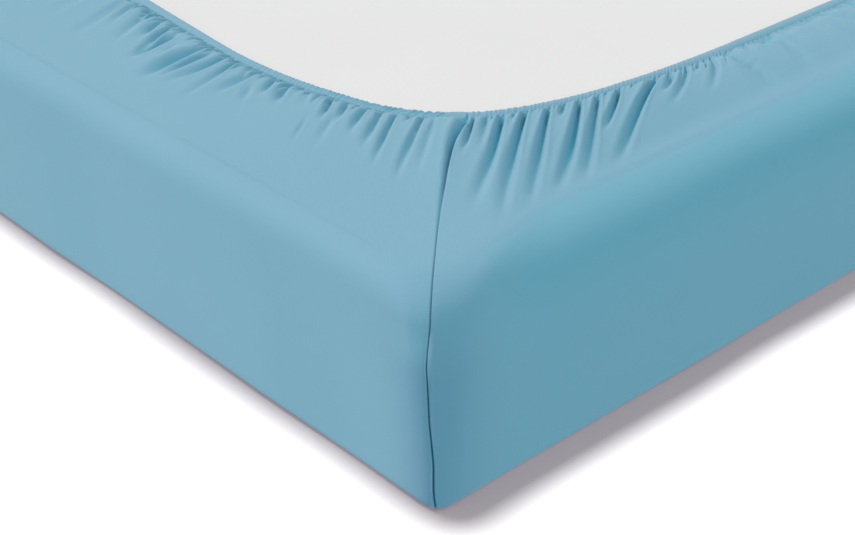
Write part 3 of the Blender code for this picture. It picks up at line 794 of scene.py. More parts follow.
# %% Dips of the rim and the walls
# at: place from the corner that shows. left, right: how far the dip goes to either side of it.
# first, full, last: distances from the hem where it starts, is deepest and ends.
Dip = namedtuple("Dip", "at left right first full last deep")
DIPS = [
    Dip(-0.0010, 0.0130, 0.0015, 0.336, 0.348, 0.400, 0.0028),
    Dip(-0.0010, 0.0170, 0.0015, 0.340, 0.390, 0.500, 0.0020),
]
WAVE_RISE = 0.06                         # the waves start this gently behind the border,
WAVE_LEAN = 9.0                          # and lean by this many radians for each metre of height
# how many go round the walls, where they start, and their height
WAVES = ((22, 0.9, 0.0007), (36, 2.1, 0.0004), (14, 4.0, 0.0008))
SEAM_END, SEAM_FADE = 0.494, 0.012       # the seams end at the main panel, over this length


def dip_depth(at, down):
    """How far the dips press the cloth, and the mattress behind it, inwards."""
    pressed = np.zeros(len(at))
    for dip in DIPS:
        rise = smooth((down - dip.first) / (dip.full - dip.first))
        fall = smooth((dip.last - down) / (dip.last - dip.full))
        side = signed_place(at) - dip.at
        reach = np.where(side < 0.0, dip.left, dip.right)
        pressed += dip.deep * rise * fall * np.exp(-np.abs(side) / reach)
    return pressed


def wall_push(at, down, around, height):
    """How far the cloth lies inside or outside the plain wall."""
    push = -seam_sink(at, down) - dip_depth(at, down)
    turned = cloth_across(around) / WALL_LENGTH * 2 * math.pi
    risen = smooth((down - CORNER_BORDER) / WAVE_RISE)
    for count, phase, size in WAVES:
        push += risen * size * np.sin(count * turned + phase + WAVE_LEAN * height)
    return push


def fade_to_panel(down):
    return 1.0 - smooth((down - SEAM_END) / SEAM_FADE)


# %% [markdown]
# ## The rim's curve
# Cloth drawn over an edge doesn't make a quarter circle. It turns slowly at first, fast in the
# middle and slowly again. The curve is added up once from short straight steps, at a radius of
# 1, and every column scales it to its own radius.

# %% The rim's curve
RIM_EVEN = 0.40                          # share of the turn that is spread evenly
CURVE_STEPS = 180
curve_share = np.linspace(0.0, 1.0, CURVE_STEPS + 1)
curve_turn = math.pi / 2 * (RIM_EVEN * curve_share + (1.0 - RIM_EVEN) * smooth(curve_share))
middle_turn = (curve_turn[1:] + curve_turn[:-1]) / 2
curve_out = np.concatenate([[0.0], np.cumsum(np.cos(middle_turn))])
curve_drop = np.concatenate([[0.0], np.cumsum(np.sin(middle_turn))])
RIM_LENGTH = CURVE_STEPS / curve_out[-1]
curve_out, curve_drop = curve_out / curve_out[-1], curve_drop / curve_drop[-1]
WALL_TOP = BORDER_TOP - CORNER_RIM
CORNER_WALL = CORNER_BORDER + CORNER_RIM * RIM_LENGTH
print("the rim's curve is %.2f of its radius long" % RIM_LENGTH)

# %% [markdown]
# ## Painted shade beside the seam
# Beside each corner seam the cloth turns away from the light, and there it gets painted shade;
# the seam's own groove gets darker painted shade still. A negative tint, which is painted
# shade, stands for both, and the finish reads it below.

# %% Shade beside the seams
SHADE_AT = -0.0055                       # middle of the band, on the long side of the seam
# the four pairs are for the long and the short side
SHADES, SHADE_WIDTHS = (1.14, 0.84), (0.032, 0.050)
SHADE_STARTS, SHADE_RISES = (0.340, 0.262), (0.032, 0.130)
SEAM_GROOVE_SHADE, SEAM_GROOVE_SHADE_WIDE = 1.9, 0.0007  # painted shade in the line of the seam itself
SEAM_GROOVE_SHADE_FROM, SEAM_GROOVE_SHADE_RISE = 0.27, 0.07


def seam_shade(around, walked):
    """How much painted shade the cloth has beside a seam, this far from the hem."""
    beside = from_marks(cloth_across(around), wall_marks) - SHADE_AT
    shade, width, start, rise = [np.where(beside < 0.0, *pair) for pair in
                                 (SHADES, SHADE_WIDTHS, SHADE_STARTS, SHADE_RISES)]
    return shade * np.exp(-(beside / width) ** 2) * smooth((walked - start) / rise)


def seam_groove_shade(at, walked):
    """How much painted shade the seam's groove has."""
    line = np.exp(-(from_corner(at) / SEAM_GROOVE_SHADE_WIDE) ** 2)
    return SEAM_GROOVE_SHADE * line * smooth((walked - SEAM_GROOVE_SHADE_FROM) / SEAM_GROOVE_SHADE_RISE)


print("shade beside the seams:", SHADES)

# %% [markdown]
# ## Rim, walls and main panel
# From the border on, a ring is a plain section that is pushed a little along its normal. The
# sections differ, but what is done with them doesn't, so a section is a function that one
# helper calls: it takes the rim's radius at each column and gives inset, height, corner radius,
# the two parts of the normal and the distance walked from the hem. The sheet's outer face, its
# inner face and the mattress all use it.

# %% Rings of the rim, the wall and the main panel
RIM_ROWS, WALL_ROWS, FLOOR_ROWS = 10, 22, 4
FINE_RIM_ROWS = 3                        # the first rows of the rim have the border's columns
PANEL_ROWS = ((0.03, 3), (0.12, 4), (0.30, 4), (0.50, 4))    # inset and rank
PANEL_DOWN = 0.54                        # beyond the seams' ends


def plain_side(section, kept, down):
    """Number around, distance walked, points and normals of a section's columns."""
    around = around_of(led(column_at[kept], down))
    inset, height, corner, outward, upward, walked = section(rim_round(around))
    spots, normals = outline(around, inset, corner)
    height = height - droop(around, walked - CORNER_BORDER)
    normals = np.column_stack((normals * outward[:, None], upward))
    return around, walked, np.column_stack((spots, height)), normals


def add_side_ring(rank, section, down):
    """A ring of the outer face."""
    kept = np.flatnonzero(column_rank >= rank)
    around, walked, points, normals = plain_side(section, kept, down)
    push = wall_push(column_at[kept], down, around, points[:, 2]) * fade_to_panel(down)
    # painted shade: round a soft rim, beside the seams and in the seam's groove
    tint = painted_rim_shade(around, walked - CORNER_BORDER) - seam_shade(around, walked)
    tint -= seam_groove_shade(column_at[kept], walked)
    points = points + normals * push[:, None]
    rings.append(Ring(points, kept, cloth_place(around, walked), tint))


def rim_section(share):
    """The rim, from its end at the border, 0, to its end at the wall, 1."""
    out = np.interp(share, curve_share, curve_out)
    drop = np.interp(share, curve_share, curve_drop)
    turn = np.interp(share, curve_share, curve_turn)

    def section(rim):
        inset = rim * (1.0 - out)
        ones = np.ones_like(rim)
        walked = CORNER_BORDER + rim * RIM_LENGTH * share
        return (inset, BORDER_TOP - rim * drop, corner_at(inset),
                math.sin(turn) * ones, math.cos(turn) * ones, walked)

    return section


def rim_down(share):
    """Distance from the hem to a ring of the rim, along a corner seam."""
    return CORNER_BORDER + CORNER_RIM * RIM_LENGTH * share


def wall_down(share):
    """Distance from the hem to a ring of the wall, in the same way."""
    return CORNER_WALL + (WALL_TOP - FLOOR_ROUND) * share


def wall_section(share):
    """The wall, from the rim, 0, to the floor's round edge, 1."""

    def section(rim):
        top = BORDER_TOP - rim
        height = top + (FLOOR_ROUND - top) * share
        corner = CORNER_AT_FLOOR + (CORNER_AT_RIM - CORNER_AT_FLOOR) * height / top
        walked = CORNER_BORDER + rim * RIM_LENGTH + top - height
        ones = np.ones_like(rim)
        return 0.0 * rim, height, corner, ones, 0.0 * ones, walked

    return section


def floor_section(turn, inset):
    """The round edge at the floor, and at a quarter turn the main panel at an inset."""

    def section(rim):
        ones = np.ones_like(rim)
        sideways = FLOOR_ROUND * (1.0 - math.cos(turn)) + inset
        height = FLOOR_ROUND * (1.0 - math.sin(turn)) * ones
        walked = CORNER_WALL + WALL_TOP + sideways
        return (sideways * ones, height, (CORNER_AT_FLOOR + inset) * ones,
                math.cos(turn) * ones, -math.sin(turn) * ones, walked * ones)

    return section


for row in range(1, RIM_ROWS + 1):
    share = row / RIM_ROWS
    rank = 2 if row <= FINE_RIM_ROWS else 3
    add_side_ring(rank, rim_section(share), rim_down(share))
for row in range(1, WALL_ROWS + 1):
    share = row / WALL_ROWS
    add_side_ring(3, wall_section(share), wall_down(share))
for row in range(1, FLOOR_ROWS + 1):
    turn = math.pi / 2 * row / FLOOR_ROWS
    add_side_ring(3, floor_section(turn, 0.0), wall_down(1.0) + FLOOR_ROUND * turn)
for inset, rank in PANEL_ROWS:
    add_side_ring(rank, floor_section(math.pi / 2, inset), PANEL_DOWN)
outer_rings = list(rings)
print("outer rings:", len(outer_rings))

# %% [markdown]
# ## The inner face
# Nobody sees the inside, but cloth has one, and a closed shell is a clean mesh for whoever takes
# the part further. The inner face lies under the lowest troughs of the border, so no fold cuts
# through it, and follows the rim, the walls and the main panel from inside, dips and all.

# %% Rings of the inner face
CLOTH = 0.0008                           # how far it lies inside where the cloth is flat
INNER_DROP = 0.0026                      # elsewhere it is clear of the seams' grooves
INNER_AWAYS = (0.016, 0.060, 0.120)
INNER_RIM_SHARES = (0.0, 0.25, 0.5, 0.75, 1.0)
INNER_WALL_SHARES = (0.13, 0.35, 0.7, 1.0)
INNER_PANEL_INSETS = (0.0, 0.12, 0.30)
inner_columns = np.flatnonzero(column_rank >= 3)
inner_rings = []
around = around_of(column_at[inner_columns])
for away in INNER_AWAYS:
    points, way, distance, width = across_border(column_at[inner_columns], away)
    heights = BORDER_TOP + SINK - CLOTH - droop(around, distance - width)
    points = np.column_stack((points, heights))
    inner_rings.append(Ring(points, inner_columns, cloth_place(around, distance)))


def add_inner_side(section, down, shrink):
    """A ring of the inner face, this much smaller than the outer one."""
    around, walked, points, normals = plain_side(section, inner_columns, down)
    inwards = shrink + dip_depth(column_at[inner_columns], down)
    points = points - normals * inwards[:, None]
    inner_rings.append(Ring(points, inner_columns, cloth_place(around, walked)))


for share in INNER_RIM_SHARES:
    add_inner_side(rim_section(share), rim_down(share), INNER_DROP)
for share in INNER_WALL_SHARES:
    add_inner_side(wall_section(share), wall_down(share), INNER_DROP)
add_inner_side(floor_section(math.pi / 4, 0.0), PANEL_DOWN, 0.5 * (INNER_DROP + CLOTH))
for inset in INNER_PANEL_INSETS:
    add_inner_side(floor_section(math.pi / 2, inset), PANEL_DOWN, CLOTH)
print("inner rings:", len(inner_rings))

# %% [markdown]
# ## Joining the rings
# Two neighbouring rings may have different numbers of columns, but one's are always among the
# other's. Where they match, the faces are quads; where a coarse edge meets several fine ones, the
# faces fan out from its two ends. So the mesh is fine where the folds are and coarse elsewhere,
# without a gap. The first and the last ring are closed with one face each.

# %% Faces between rings
def join_rings(first, first_start, second, second_start):
    """Faces between two closed rings, as tuples of point numbers."""
    swap = len(first.columns) < len(second.columns)
    fine, fine_start = (second, second_start) if swap else (first, first_start)
    coarse, coarse_start = (first, first_start) if swap else (second, second_start)
    fine_count, coarse_count = len(fine.columns), len(coarse.columns)
    place = np.searchsorted(fine.columns, coarse.columns)
    faces = []
    for number in range(coarse_count):
        after = (number + 1) % coarse_count
        left, right = coarse_start + number, coarse_start + after
        here = int(place[number])
        span = (int(place[after]) - here) % fine_count
        run = [fine_start + (here + step) % fine_count for step in range(span + 1)]
        if span == 1:
            faces.append((left, right, run[1], run[0]))
            continue
        middle = span // 2
        faces += [(left, run[step + 1], run[step]) for step in range(middle)]
        faces.append((left, right, run[middle]))
        faces += [(right, run[step + 1], run[step]) for step in range(middle, span)]
    return faces


def shell_from(rings_in_order):
    """Points, faces and cloth coordinates of a shell through all the rings, closed at its ends."""
    starts = np.cumsum([0] + [len(ring.columns) for ring in rings_in_order])
    faces = []
    for number in range(len(rings_in_order) - 1):
        faces += join_rings(rings_in_order[number], int(starts[number]),
                            rings_in_order[number + 1], int(starts[number + 1]))
    faces.append(tuple(range(int(starts[-2]), int(starts[-1]))))
    faces.append(tuple(range(int(starts[0]), int(starts[1]))))
    points = np.concatenate([ring.points for ring in rings_in_order])
    cloth = np.concatenate([ring.cloth for ring in rings_in_order])
    return points, faces, cloth


def new_object(name, data):
    """An object in the scene for some data: a mesh, a lamp or a camera."""
    made = bpy.data.objects.new(name, data)
    bpy.context.collection.objects.link(made)
    return made


def mesh_object(name, points, faces):
    """A smooth object with its faces pointing outwards."""
    mesh = bpy.data.meshes.new(name)
    mesh.from_pydata(points.tolist(), [], faces)
    mesh.validate()
    shell = bmesh.new()
    shell.from_mesh(mesh)
    bmesh.ops.recalc_face_normals(shell, faces=shell.faces)
    shell.to_mesh(mesh)
    shell.free()
    mesh.shade_smooth()
    return new_object(name, mesh)


order = list(reversed(inner_rings)) + outer_rings
points, faces, cloth = shell_from(order)
sheet = mesh_object("gathered_sheet", points, faces)
sheet.data.calc_loop_triangles()
print("sheet:", len(points), "points,", len(sheet.data.loop_triangles), "triangles")

# %% [markdown]
# ## Where the threads run
# The weave follows the cloth, so the sheet gets a UV map in metres: across it runs round the
# walls, and along it runs from the hem to the floor. Where the map comes full circle, at the
# corner seam, one side of the seam ends and the other starts, as in the cut cloth. The tint,
# which is painted shade, goes into an attribute of its own, one number a point.

# %% The sheet's UV map
def lay_cloth(piece, cloth_of_points, round_length):
    """Write the cloth's coordinates into a UV map, and close it round the corner seam."""
    mesh = piece.data
    layer = mesh.uv_layers.new(name="cloth")
    corners = np.zeros(len(mesh.loops), int)
    mesh.loops.foreach_get("vertex_index", corners)
    laid = cloth_of_points[corners].copy()
    for face in mesh.polygons:
        own = laid[face.loop_start:face.loop_start + face.loop_total, 0]
        if own.max() - own.min() > round_length / 2 and face.loop_total < 5:
            own[own < round_length / 2] += round_length
    layer.data.foreach_set("uv", laid.astype(np.float32).ravel())


lay_cloth(sheet, cloth, WALL_LENGTH)
painted_shades = [np.zeros(len(ring.points)) if ring.tint is None else ring.tint for ring in order]
painted_shade_layer = sheet.data.attributes.new("tint", "FLOAT", "POINT")
painted_shade_layer.data.foreach_set("value", np.concatenate(painted_shades).astype(np.float32))
print("UV map:", sheet.data.uv_layers.active.name)

# %% [markdown]
# ## The sewing
# Sewing thread shows as a row of small beads, each of them one stitch that is half sunk in the
# cloth. A picture of stitches would do from afar, but beads catch the light from every side.
# There are thousands, so a bead is a stubby spindle of twenty faces, and all are one mesh.

# %% Beads of thread
BEAD_SIDES = 5
# place along the bead and thickness there, as shares of half its length and of its own
BEAD_RINGS = ((-0.75, 0.75), (0.0, 1.0), (0.75, 0.75))


def bead_faces():
    """Faces of one bead: its rings, and a fan on each tip."""
    found = []
    last = (len(BEAD_RINGS) - 1) * BEAD_SIDES
    first_tip = len(BEAD_RINGS) * BEAD_SIDES
    for side in range(BEAD_SIDES):
        after = (side + 1) % BEAD_SIDES
        for low in range(0, last, BEAD_SIDES):
            high = low + BEAD_SIDES
            found.append((low + side, low + after, high + after, high + side))
        found.append((first_tip, after, side))
        found.append((first_tip + 1, last + side, last + after))
    return found


def beads(middles, ways, lift, half, thick):
    """Points (beads, points of a bead, 3) of beads at the middles, each along its own way."""
    along = ways / np.linalg.norm(ways, axis=-1)[:, None]
    side = np.cross(along, lift)
    side = side / np.linalg.norm(side, axis=-1)[:, None]
    third = np.cross(side, along)
    found = []
    for share, wide in BEAD_RINGS:
        for turn in np.arange(BEAD_SIDES) * 2 * math.pi / BEAD_SIDES:
            across = side * math.cos(turn) + third * math.sin(turn)
            found.append(middles + along * (half * share) + across * (thick * wide))
    found.append(middles - along * half)
    found.append(middles + along * half)
    return np.stack(found, axis=1)


print("faces of a bead:", len(bead_faces()))

# %% [markdown]
# ## The hem's stitching and the corner seams' loops
# A line of lockstitches holds the hem down, one stitch every two and a half millimetres, and each
# bead follows the ruffle that it lies on. The corner seams are overlocked on the inside, and the
# loops of that thread peep out along one lip of the seam, across it.

# %% The hem's stitching and the loops along the seams
STITCH, STITCH_HALF, STITCH_THICK = 0.0024, 0.00100, 0.00022
STITCHES_AWAY = 0.0122                   # from the hem's edge
CLEAR_OF_TACK = 0.016                    # the hem's stitching ends this far from a corner seam
LOOP, LOOP_HALF, LOOP_THICK = 0.0024, 0.00070, 0.00030
LOOP_FROM = (-0.0016, -0.0009)           # a loop's ends, as distances from the seam
LOOPS_END = -5                           # the last rings lie under the sheet and have no loops


def on_hem(at, away):
    """Points of the cloth at one distance from the hem."""
    points, way, distance, width = across_border(at, away)
    top = HEM_ROWS[2:]
    base = np.interp(away, [row.away for row in top], [row.height for row in top])
    return np.column_stack((points, BORDER_TOP + base + border_height(at, distance, width)))


def seam_side(corner, offset, seam_rings):
    """The cloth's points beside a corner seam, all the way down the rim and the wall."""
    column = np.argmin(np.abs(signed_place(column_at - corner - offset)))
    return np.array([ring.points[np.searchsorted(ring.columns, column)] for ring in seam_rings])


stitch_at = np.arange(0.0, HEM_LENGTH, STITCH)
stitch_at = stitch_at[np.abs(from_corner(stitch_at)) > CLEAR_OF_TACK]
first, last = [on_hem(stitch_at + end, STITCHES_AWAY) for end in (-STITCH_HALF, STITCH_HALF)]
bead_points = [beads((first + last) / 2, last - first, (0.0, 0.0, 1.0), STITCH_HALF, STITCH_THICK)]
seam_rings = outer_rings[len(HEM_ROWS) + len(NEAR_ROWS) + FAR_ROWS:LOOPS_END]
for corner in hem_marks[:-1:2]:
    sides = [seam_side(corner, offset, seam_rings) for offset in LOOP_FROM]
    steps = np.linalg.norm(np.diff(sides[0], axis=0), axis=-1)
    walked = np.concatenate([[0.0], np.cumsum(steps)])
    places = np.arange(LOOP, walked[-1] - LOOP, LOOP)
    near, far = [np.column_stack([np.interp(places, walked, side[:, axis]) for axis in range(3)])
                 for side in sides]
    outward = (near[-1, 0], near[-1, 1], 0.0)
    bead_points.append(beads((near + far) / 2, far - near, outward, LOOP_HALF, LOOP_THICK))
bead_points = np.concatenate(bead_points)
bead_size = bead_points.shape[1]
all_bead_faces = [tuple(start + corner for corner in face)
                  for start in range(0, len(bead_points) * bead_size, bead_size)
                  for face in bead_faces()]
sewing = mesh_object("hem_stitching", bead_points.reshape(-1, 3), all_bead_faces)
print(len(stitch_at), "stitches on the hem,", len(bead_points) - len(stitch_at), "loops on the seams")

# %% [markdown]
# ## The mattress
# The mattress shows inside the hem as a plain white face. It is a soft block with round edges,
# built from the same sections as the sheet, a skin's thickness inside them, so that it fills
# the cloth wherever the cloth lies, also where a dip presses both of them in.

# %% The mattress
MATTRESS_TOP = mattress_high.z
MATTRESS_BOTTOM = mattress_low.z
UNDER_INSETS = (0.4, 0.1)
UNDER_STEPS = 4                          # of its round lower edge
SIDE_SHARES = (0.7, 0.35, 0.13)
EDGE_SHARES = (1.0, 0.75, 0.5, 0.25, 0.12, 0.0)
TOP_SHARES = (0.02, 0.04, 0.07, 0.11, 0.16, 0.25, 0.4, 0.6, 0.8)    # of the way to its middle


def mattress_rings():
    """Rings from the middle of the mattress's underside to the middle of its top."""
    found = []

    def add(section, down):
        around, walked, points, normals = plain_side(section, inner_columns, down)
        inside = SKIN + dip_depth(column_at[inner_columns], down)
        below = np.where(normals[:, 2] > 0.0, inside, MATTRESS_BOTTOM)
        points = points - normals * np.column_stack((inside, inside, below))
        found.append(Ring(points, inner_columns, cloth_place(around, walked)))

    for inset in UNDER_INSETS:
        add(floor_section(math.pi / 2, inset), PANEL_DOWN)
    for step in range(UNDER_STEPS + 1):
        add(floor_section(math.pi / 2 * (1.0 - step / UNDER_STEPS), 0.0), PANEL_DOWN)
    for share in SIDE_SHARES:
        add(wall_section(share), wall_down(share))
    for share in EDGE_SHARES:
        add(rim_section(share), rim_down(share))
    around = around_of(led(column_at[inner_columns], CORNER_BORDER))
    edge = found[-1].points
    for share in TOP_SHARES:
        points = edge * (1.0 - share, 1.0 - share, 1.0)
        inside = share * np.linalg.norm(edge[:, :2], axis=-1)
        points[:, 2] = MATTRESS_TOP - droop(around, -inside)
        found.append(Ring(points, inner_columns, found[-1].cloth))
    return found


mattress_points, mattress_faces = shell_from(mattress_rings())[:2]
mattress = mesh_object("mattress_block", mattress_points, mattress_faces)
print("mattress:", len(mattress_points), "points")

# %% [markdown]
# ## Writing finishes as sums
# A finish is a small network of nodes. Wrapped in a class with Python's own operators, the
# network reads as a sum: each operator adds one Math node. Colours never pass a Math node,
# because that would turn them grey; they go through Mix nodes.

# %% A socket that can be added up
class Amount:
    """A number on the surface: a socket with the operators that the finishes use."""

    def __init__(self, finish, socket):
        self.finish = finish
        self.socket = socket

    def math(self, operation, *others, swap=False):
        values = [self, *others][::-1] if swap else [self, *others]
        node = self.finish.node("ShaderNodeMath", {"operation": operation}, dict(enumerate(values)))
        return Amount(self.finish, node.outputs[0])

    def __add__(self, other):
        return self.math("ADD", other)

    def __mul__(self, other):
        return self.math("MULTIPLY", other)

    def __sub__(self, other):
        return self.math("SUBTRACT", other)

    def __rsub__(self, other):
        return self.math("SUBTRACT", other, swap=True)

    __radd__ = __add__
    __rmul__ = __mul__


class Finish:
    """A material in the making."""

    def __init__(self, name, **sockets):
        self.material = bpy.data.materials.new(name)
        self.material.use_nodes = True
        self.tree = self.material.node_tree
        self.give(**sockets)

    def give(self, **sockets):
        """Values or links for the shader's sockets, named with _ for each space."""
        shader = self.tree.nodes["Principled BSDF"]
        for socket, value in sockets.items():
            self.feed(shader.inputs[socket.replace("_", " ")], value)

    def node(self, kind, settings=None, inputs=None):
        """Add a node: first its settings, then the values or links of its sockets."""
        node = self.tree.nodes.new(kind)
        for setting, value in (settings or {}).items():
            setattr(node, setting, value)
        for socket, value in (inputs or {}).items():
            self.feed(node.inputs[socket], value)
        return node

    def feed(self, target, value):
        if isinstance(value, Amount):
            value = value.socket
        if isinstance(value, bpy.types.NodeSocket):
            self.tree.links.new(value, target)
        else:
            target.default_value = value

    def amount(self, node, output):
        return Amount(self, node.outputs[output])

    def noise(self, vector, scale, detail=2.0, roughness=0.5):
        node = self.node("ShaderNodeTexNoise", {}, {
            "Vector": vector, "Scale": scale, "Detail": detail, "Roughness": roughness})
        return self.amount(node, "Fac")

    def mix(self, share, first, second):
        """A colour between two others."""
        node = self.node("ShaderNodeMix", {"data_type": "RGBA"}, {
            "Factor": share, 6: first, 7: second})
        return node.outputs[2]

    def bump(self, height, distance, normal=None):
        inputs = {"Height": height, "Distance": distance}
        if normal is not None:
            inputs["Normal"] = normal
        return self.node("ShaderNodeBump", {}, inputs).outputs["Normal"]


# %% [markdown]
# ## Cotton
# The sheet is plain-woven cotton: two sets of threads that go over and under each other, with
# thicker places in the yarn that show as faint streaks. The weave is made from two sine waves
# in the cloth's own coordinates, and the streaks from noise stretched along each set. The tint,
# which is painted shade, then picks the blue: above 0 the painted shade of folds and soft rims,
# below 0 the painted shade beside the seams, and below -1 that in the seam's groove.

# %% The sheet's finish
cotton = Finish("blue_cotton", Roughness=0.86, Sheen_Weight=0.18, Sheen_Roughness=0.5,
                Specular_IOR_Level=0.25)
THREAD = 0.00055                         # from one thread to the next
SLUBS_FINE, SLUBS_LONG = 900.0, 60.0     # how often they come across a thread and along it
PATCHES = 7.0                            # larger, softer changes of colour
SLUB_SHARE, PATCH_SHARE = 0.30, 0.45     # their parts in the step from dark to light
YARN_HIGH, WEAVE_HIGH = 0.00012, 0.00002
BLUE_DARK = (0.204, 0.428, 0.570, 1.0)
BLUE_LIGHT = (0.236, 0.468, 0.606, 1.0)
# painted shade: the blues of shaded folds, of the shade beside the seams and of the seam's groove
BLUE_FOLD_SHADE = (0.094, 0.510, 0.650, 1.0)
BLUE_SEAM_BAND_SHADE = (0.162, 0.350, 0.496, 1.0)
BLUE_SEAM_GROOVE_SHADE = (0.016, 0.160, 0.260, 1.0)
cloth_map = cotton.node("ShaderNodeUVMap", {"uv_map": "cloth"})
cloth_axes = cotton.node("ShaderNodeSeparateXYZ", {}, {"Vector": cloth_map.outputs["UV"]})
across, along = cotton.amount(cloth_axes, "X"), cotton.amount(cloth_axes, "Y")
turns = 2 * math.pi / THREAD
weave = (across * turns).math("SINE") * (along * turns).math("SINE")


def streaks(scale_across, scale_along):
    """Noise stretched along one set of threads."""
    node = cotton.node("ShaderNodeCombineXYZ", {}, {
        "X": across * scale_across, "Y": along * scale_along, "Z": 0.0})
    return cotton.noise(node.outputs["Vector"], 1.0, 1.0)


slubs = streaks(SLUBS_FINE, SLUBS_LONG) + streaks(SLUBS_LONG, SLUBS_FINE)
cotton_place = cotton.node("ShaderNodeTexCoord").outputs["Object"]
patches = cotton.noise(cotton_place, PATCHES, 2.0)
tone = slubs * SLUB_SHARE + patches * PATCH_SHARE
plain = cotton.mix(tone, BLUE_DARK, BLUE_LIGHT)
tint = cotton.amount(cotton.node("ShaderNodeAttribute", {"attribute_name": "tint"}), "Fac")
# painted shade, mixed into the cloth's colour by the tint
painted_fold_shade = cotton.mix(tint, plain, BLUE_FOLD_SHADE)
painted_seam_band_shade = cotton.mix(tint * -1.0, painted_fold_shade, BLUE_SEAM_BAND_SHADE)
painted_seam_groove_shade = cotton.mix(tint * -1.0 - 1.0, painted_seam_band_shade, BLUE_SEAM_GROOVE_SHADE)
yarns = cotton.bump(slubs, YARN_HIGH)
cotton.give(Base_Color=painted_seam_groove_shade, Normal=cotton.bump(weave, WEAVE_HIGH, yarns))
sheet.data.materials.append(cotton.material)
print("cotton nodes:", len(cotton.tree.nodes))

# %% [markdown]
# ## Thread
# Sewing thread is spun tighter than the yarn of the cloth, so it is smoother and catches a little
# more light. It is dyed to match and looks a shade paler. Its twist is noise on a small scale.

# %% The thread's finish
thread = Finish("blue_thread", Roughness=0.55, Sheen_Weight=0.3)
TWISTS, TWIST_HIGH = 2600.0, 0.00005
THREAD_DARK, THREAD_LIGHT = (0.29, 0.52, 0.65, 1.0), (0.40, 0.62, 0.74, 1.0)
thread_place = thread.node("ShaderNodeTexCoord").outputs["Object"]
twist = thread.noise(thread_place, TWISTS, 1.0)
thread.give(Base_Color=thread.mix(twist, THREAD_DARK, THREAD_LIGHT),
            Normal=thread.bump(twist, TWIST_HIGH))
sewing.data.materials.append(thread.material)
print("thread nodes:", len(thread.tree.nodes))

# %% [markdown]
# ## Ticking
# The mattress's cover is taken as a smooth white knit. Its stitches stand in fine columns, which
# show only close up, with a little fuzz on them, and its white is a touch uneven.

# %% The mattress's finish
ticking = Finish("white_ticking", Roughness=0.9, Sheen_Weight=0.1, Specular_IOR_Level=0.2)
KNIT, KNIT_HIGH = 0.0016, 0.00006        # from one stitch to the next, and its relief
FUZZ, FUZZ_SHARE = 420.0, 0.3
CLOUDS, CLOUD_SHARE = 5.0, 0.6
WHITE_DARK, WHITE_LIGHT = (0.80, 0.80, 0.80, 1.0), (0.86, 0.86, 0.86, 1.0)
ticking_place = ticking.node("ShaderNodeTexCoord").outputs["Object"]
ticking_axes = ticking.node("ShaderNodeSeparateXYZ", {}, {"Vector": ticking_place})
knit_rows = (ticking.amount(ticking_axes, "X") * (2 * math.pi / KNIT)).math("SINE")
knit_columns = (ticking.amount(ticking_axes, "Y") * (2 * math.pi / KNIT)).math("SINE")
fuzz = ticking.noise(ticking_place, FUZZ, 2.0)
clouds = ticking.noise(ticking_place, CLOUDS, 1.0)
white = ticking.mix(clouds * CLOUD_SHARE + fuzz * FUZZ_SHARE, WHITE_DARK, WHITE_LIGHT)
knit = ticking.bump(knit_rows * knit_columns + fuzz, KNIT_HIGH)
ticking.give(Base_Color=white, Normal=knit)
mattress.data.materials.append(ticking.material)
print("ticking nodes:", len(ticking.tree.nodes))

# %% [markdown]
# ## Studio
# The picture was lit from its left, halfway up and a little behind, with white all round: the
# top is the lightest face, the wall on the left is a shade darker and the one on the right
# darker again, and a soft shadow lies on the floor at its foot. A broad sun and a bright sky
# do that.
# A second, smaller sun lights only the floor, so that the shadow can be as soft and as deep as
# it has to be without a change to the light on the cloth.

# %% Floor and light
FLOOR_SIZE = 60.0
FLOOR_GREY = (0.56, 0.56, 0.56, 1.0)
FLOOR_GLOW, GLOW_STRENGTH = (1.0, 0.0, 0.0, 1.0), 0.12    # makes up for the sky's blue
bpy.ops.object.select_all(action="DESELECT")
bpy.ops.mesh.primitive_plane_add(size=FLOOR_SIZE, location=(0.0, 0.0, 0.0))
floor = bpy.context.object
floor.name = "floor"
paper = Finish("pale_floor", Roughness=0.95, Base_Color=FLOOR_GREY,
               Emission_Color=FLOOR_GLOW, Emission_Strength=GLOW_STRENGTH)
floor.data.materials.append(paper.material)
floor.visible_diffuse = False            # its own light stays off the cloth


def soft_sun(name, way, colour, degrees, lit):
    """A far lamp that lights only the pieces named, from the side that `way` points to."""
    data = bpy.data.lights.new(name, "SUN")
    data.color = [value / max(colour) for value in colour]
    data.energy = math.pi * max(colour)
    data.angle = math.radians(degrees)
    lamp = new_object(name, data)
    lamp.rotation_mode = "QUATERNION"
    lamp.rotation_quaternion = Vector(way).to_track_quat("Z", "Y")
    lamp.light_linking.receiver_collection = bpy.data.collections.new(name)
    for piece in lit:
        lamp.light_linking.receiver_collection.objects.link(piece)


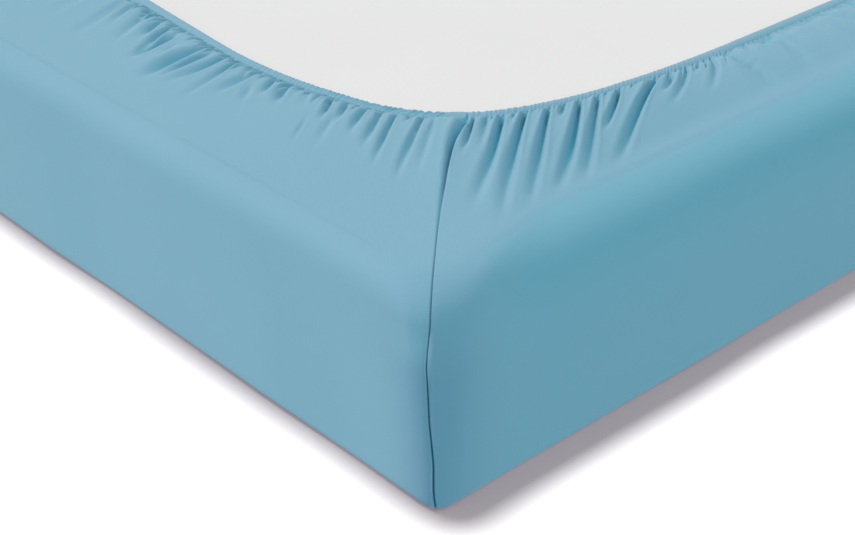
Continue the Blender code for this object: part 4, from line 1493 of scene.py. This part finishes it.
KEY_WAY, KEY_COLOUR, KEY_DEGREES = (-0.372, 0.644, 0.669), (0.67, 0.41, 0.376), 25.0
FLOOR_WAY, FLOOR_COLOUR, FLOOR_DEGREES = (0.070, 0.232, 1.0), (1.60, 1.60, 1.60), 12.0
SKY_COLOUR = (0.53, 0.707, 0.725, 1.0)
soft_sun("key", KEY_WAY, KEY_COLOUR, KEY_DEGREES, (sheet, mattress, sewing))
soft_sun("floor_lamp", FLOOR_WAY, FLOOR_COLOUR, FLOOR_DEGREES, (floor,))
world = bpy.data.worlds.new("studio")
bpy.context.scene.world = world
world.use_nodes = True
sky = world.node_tree.nodes["Background"]
sky.inputs["Color"].default_value = SKY_COLOUR
bpy.context.scene.view_settings.view_transform = "Standard"
print("lights: two suns and a bright sky")

# %% [markdown]
# ## Camera
# The picture looks down at the corner from a step away. Its height, its turn and its lens were
# worked out from the lines of the walls and the floor, and are given here in full.

# %% The camera
YAW, PITCH = math.radians(42.496), math.radians(30.379)
FOCAL_PIXELS, IMAGE_WIDTH = 1650.47, 855.0
CAMERA_HEIGHT, CAMERA_BACK, CAMERA_RIGHT = 0.877, 1.08529, -0.00794
ahead = Vector((math.sin(YAW), math.cos(YAW), 0.0))
right = Vector((math.cos(YAW), -math.sin(YAW), 0.0))
sight = ahead * math.cos(PITCH) - Vector((0.0, 0.0, math.sin(PITCH)))
camera_data = bpy.data.cameras.new("camera")
camera = new_object("camera", camera_data)
spot = Vector((-HALF_X, -HALF_Y, CAMERA_HEIGHT)) - ahead * CAMERA_BACK + right * CAMERA_RIGHT
turned = Matrix((right, right.cross(sight), -sight)).transposed().to_4x4()
camera.matrix_world = Matrix.Translation(spot) @ turned
camera_data.sensor_width = 36.0
camera_data.lens = FOCAL_PIXELS * camera_data.sensor_width / IMAGE_WIDTH
camera_data.clip_start = 0.02
bpy.context.scene.camera = camera
print("camera at", tuple(round(value, 3) for value in spot))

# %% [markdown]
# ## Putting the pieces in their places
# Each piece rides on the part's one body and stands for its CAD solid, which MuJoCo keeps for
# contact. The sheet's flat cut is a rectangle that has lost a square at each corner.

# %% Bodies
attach(sheet, "root")
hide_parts("fitted_sheet")
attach(mattress, "root")
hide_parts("mattress")
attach(sewing, "root")
